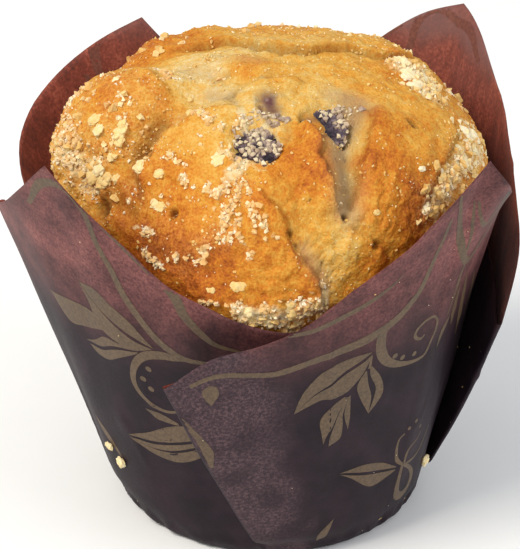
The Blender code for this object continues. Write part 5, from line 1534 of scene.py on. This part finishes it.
def burst_berry(number, name, centre, radius):
    """A berry of packed grainy pulp whose top has fallen in, with fields for its colour and its crumbs."""
    bm = bmesh.new()
    bmesh.ops.create_icosphere(bm, subdivisions=6, radius=1.0)
    ball = np.array([vert.co for vert in bm.verts])
    faces = np.array([[vert.index for vert in face.verts] for face in bm.faces])
    bm.free()
    outward, across, up = berry_axes(centre)
    height = ball @ outward
    places = ball * radius + (number + 1) * 13.0 * MM
    cells = [noise.voronoi(Vector(p), distance_metric="DISTANCE") for p in places / (1.15 * MM)]
    middle = smooth_step(np.array([cell[0][1] - cell[0][0] for cell in cells]) / 0.55)
    tone = np.array([0.5 + 0.5 * noise.noise(cell[1][0] * 3.7) for cell in cells])
    flat = np.sqrt(np.maximum(1.0 - height ** 2, 0.0))
    hollow = SINK[number] * np.exp(-(flat / 0.66) ** 4) * (height > 0.0)
    grainy = (0.13, 0.09, 0.04)[number]
    size = (0.90, 0.90, 0.82)[number]
    shaped = ball * (size + grainy * (middle - 0.5) + 0.06 * noise_at(places, 3.0, 71))[:, None]
    dark = np.zeros(len(ball))
    for x, y, reach in DARK[number]:
        dark = np.maximum(dark, np.exp(-(((ball @ across - x) ** 2 + (ball @ up - y) ** 2) / reach ** 2)))
    shaped = shaped - outward * (hollow + 0.10 * dark * (height > 0.0))[:, None]
    made = mesh_object(f"burst_{name}", centre + shaped * radius, faces, [berry_material])
    store(made, "pulp", PALE[number] * (0.50 + 0.50 * middle) * (0.6 + 0.8 * tone) * (1.0 - 0.95 * dark))
    store(made, "browned", BROWNED[number] * (1.0 - dark))
    if number < len(GRAINED):
        reached = smooth_step((height - 0.2) / 0.3) * np.clip(1.0 - 1.4 * dark, 0.0, 1.0)
        store(made, "stuck", GRAINED[number] * reached)
    return made


berries = [burst_berry(number, name, berry_centres[number], berry_radii[number])
           for number, name in enumerate(BERRY_NODES)]
stuck_grains = [scatter(f"stained_grains_{number + 1}", berry, "stuck", stained_material, Spacing=0.72 * MM,
                        Density=6.0e6, Smallest=0.40 * MM, Largest=0.78 * MM, Jag=1.2 * MM, Lift=0.0, Seed=20 + number)
                for number, berry in enumerate(berries[:len(GRAINED)])]

# %% [markdown]
# ## Loose bits on the paper
# A few crumbs cling to the outside of the case near the table, and the paper carries a dusting of tiny
# specks of flour. Both are placed on the case's own surface, so they touch it.

# %% Specks and stuck crumbs
speck_field = smooth_step((noise_at(sheet_points, 9.0, 91) - 0.05) / 0.4)
speck_field[:, :DISC_COUNT] = 0.0
store(case, "dust", np.append(speck_field, 0.0))
dust = scatter("flour_specks", case, "dust", sugar_material, Spacing=1.5 * MM, Density=1.6e4, Smallest=0.07 * MM,
               Largest=0.20 * MM, Jag=0.05 * MM, Lift=0.4, Seed=33)

# Each crumb: angle in degrees, height on the wall and radius in millimetres.
CLINGING = ((208.0, 15.5, 0.85), (212.5, 13.4, 0.95), (-19.5, 9.6, 1.0), (60.0, 12.0, 0.8))
cling_points, cling_faces, start = [], [], 0
for number, (angle, height, radius) in enumerate(CLINGING):
    wanted = polar(angle, cone_radius(height * MM), height * MM)
    surface = sheet_points[:, DISC_COUNT:].reshape(-1, 3)
    nearest = int(np.argmin(np.linalg.norm(surface - wanted, axis=1)))
    normal = sheet_normals[:, DISC_COUNT:].reshape(-1, 3)[nearest]
    knobs, ball_faces = nugget(surface[nearest] + normal * 0.6 * radius * MM, normal, radius * MM, 120 + number)
    cling_points.append(knobs)
    cling_faces.append(ball_faces + start)
    start += len(knobs)
clinging = mesh_object("clinging_crumbs", np.concatenate(cling_points), np.concatenate(cling_faces), [crumb_material])
store(clinging, "tone", np.full(start, 0.3))
print("clinging crumbs", triangles(clinging), "triangles")

# %% [markdown]
# ## Pieces on the body
# Every piece rides on the muffin's one body. The pieces that stand for
# a imported solid replace it.

# %% Ride and replace
for piece, slot_name in ((case, "case_paper"), (case_print, "case_paper"), (case_print_inside, "case_paper"),
                         (cake, "crust"), (sugar, "crust"), (crumbs, "crust"),
                         (fine_sugar, "crust"), (juice_crumbs, "crust"), (lumps, "crust"),
                         (dust, "crust"), (clinging, "crust"), *[(berry, "berry_skin") for berry in berries],
                         *[(grains, "berry_skin") for grains in stuck_grains]):
    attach(piece, "root")
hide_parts("paper_case")
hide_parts("cake")
for berry, name in zip(berries, BERRY_NODES):
    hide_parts(name)
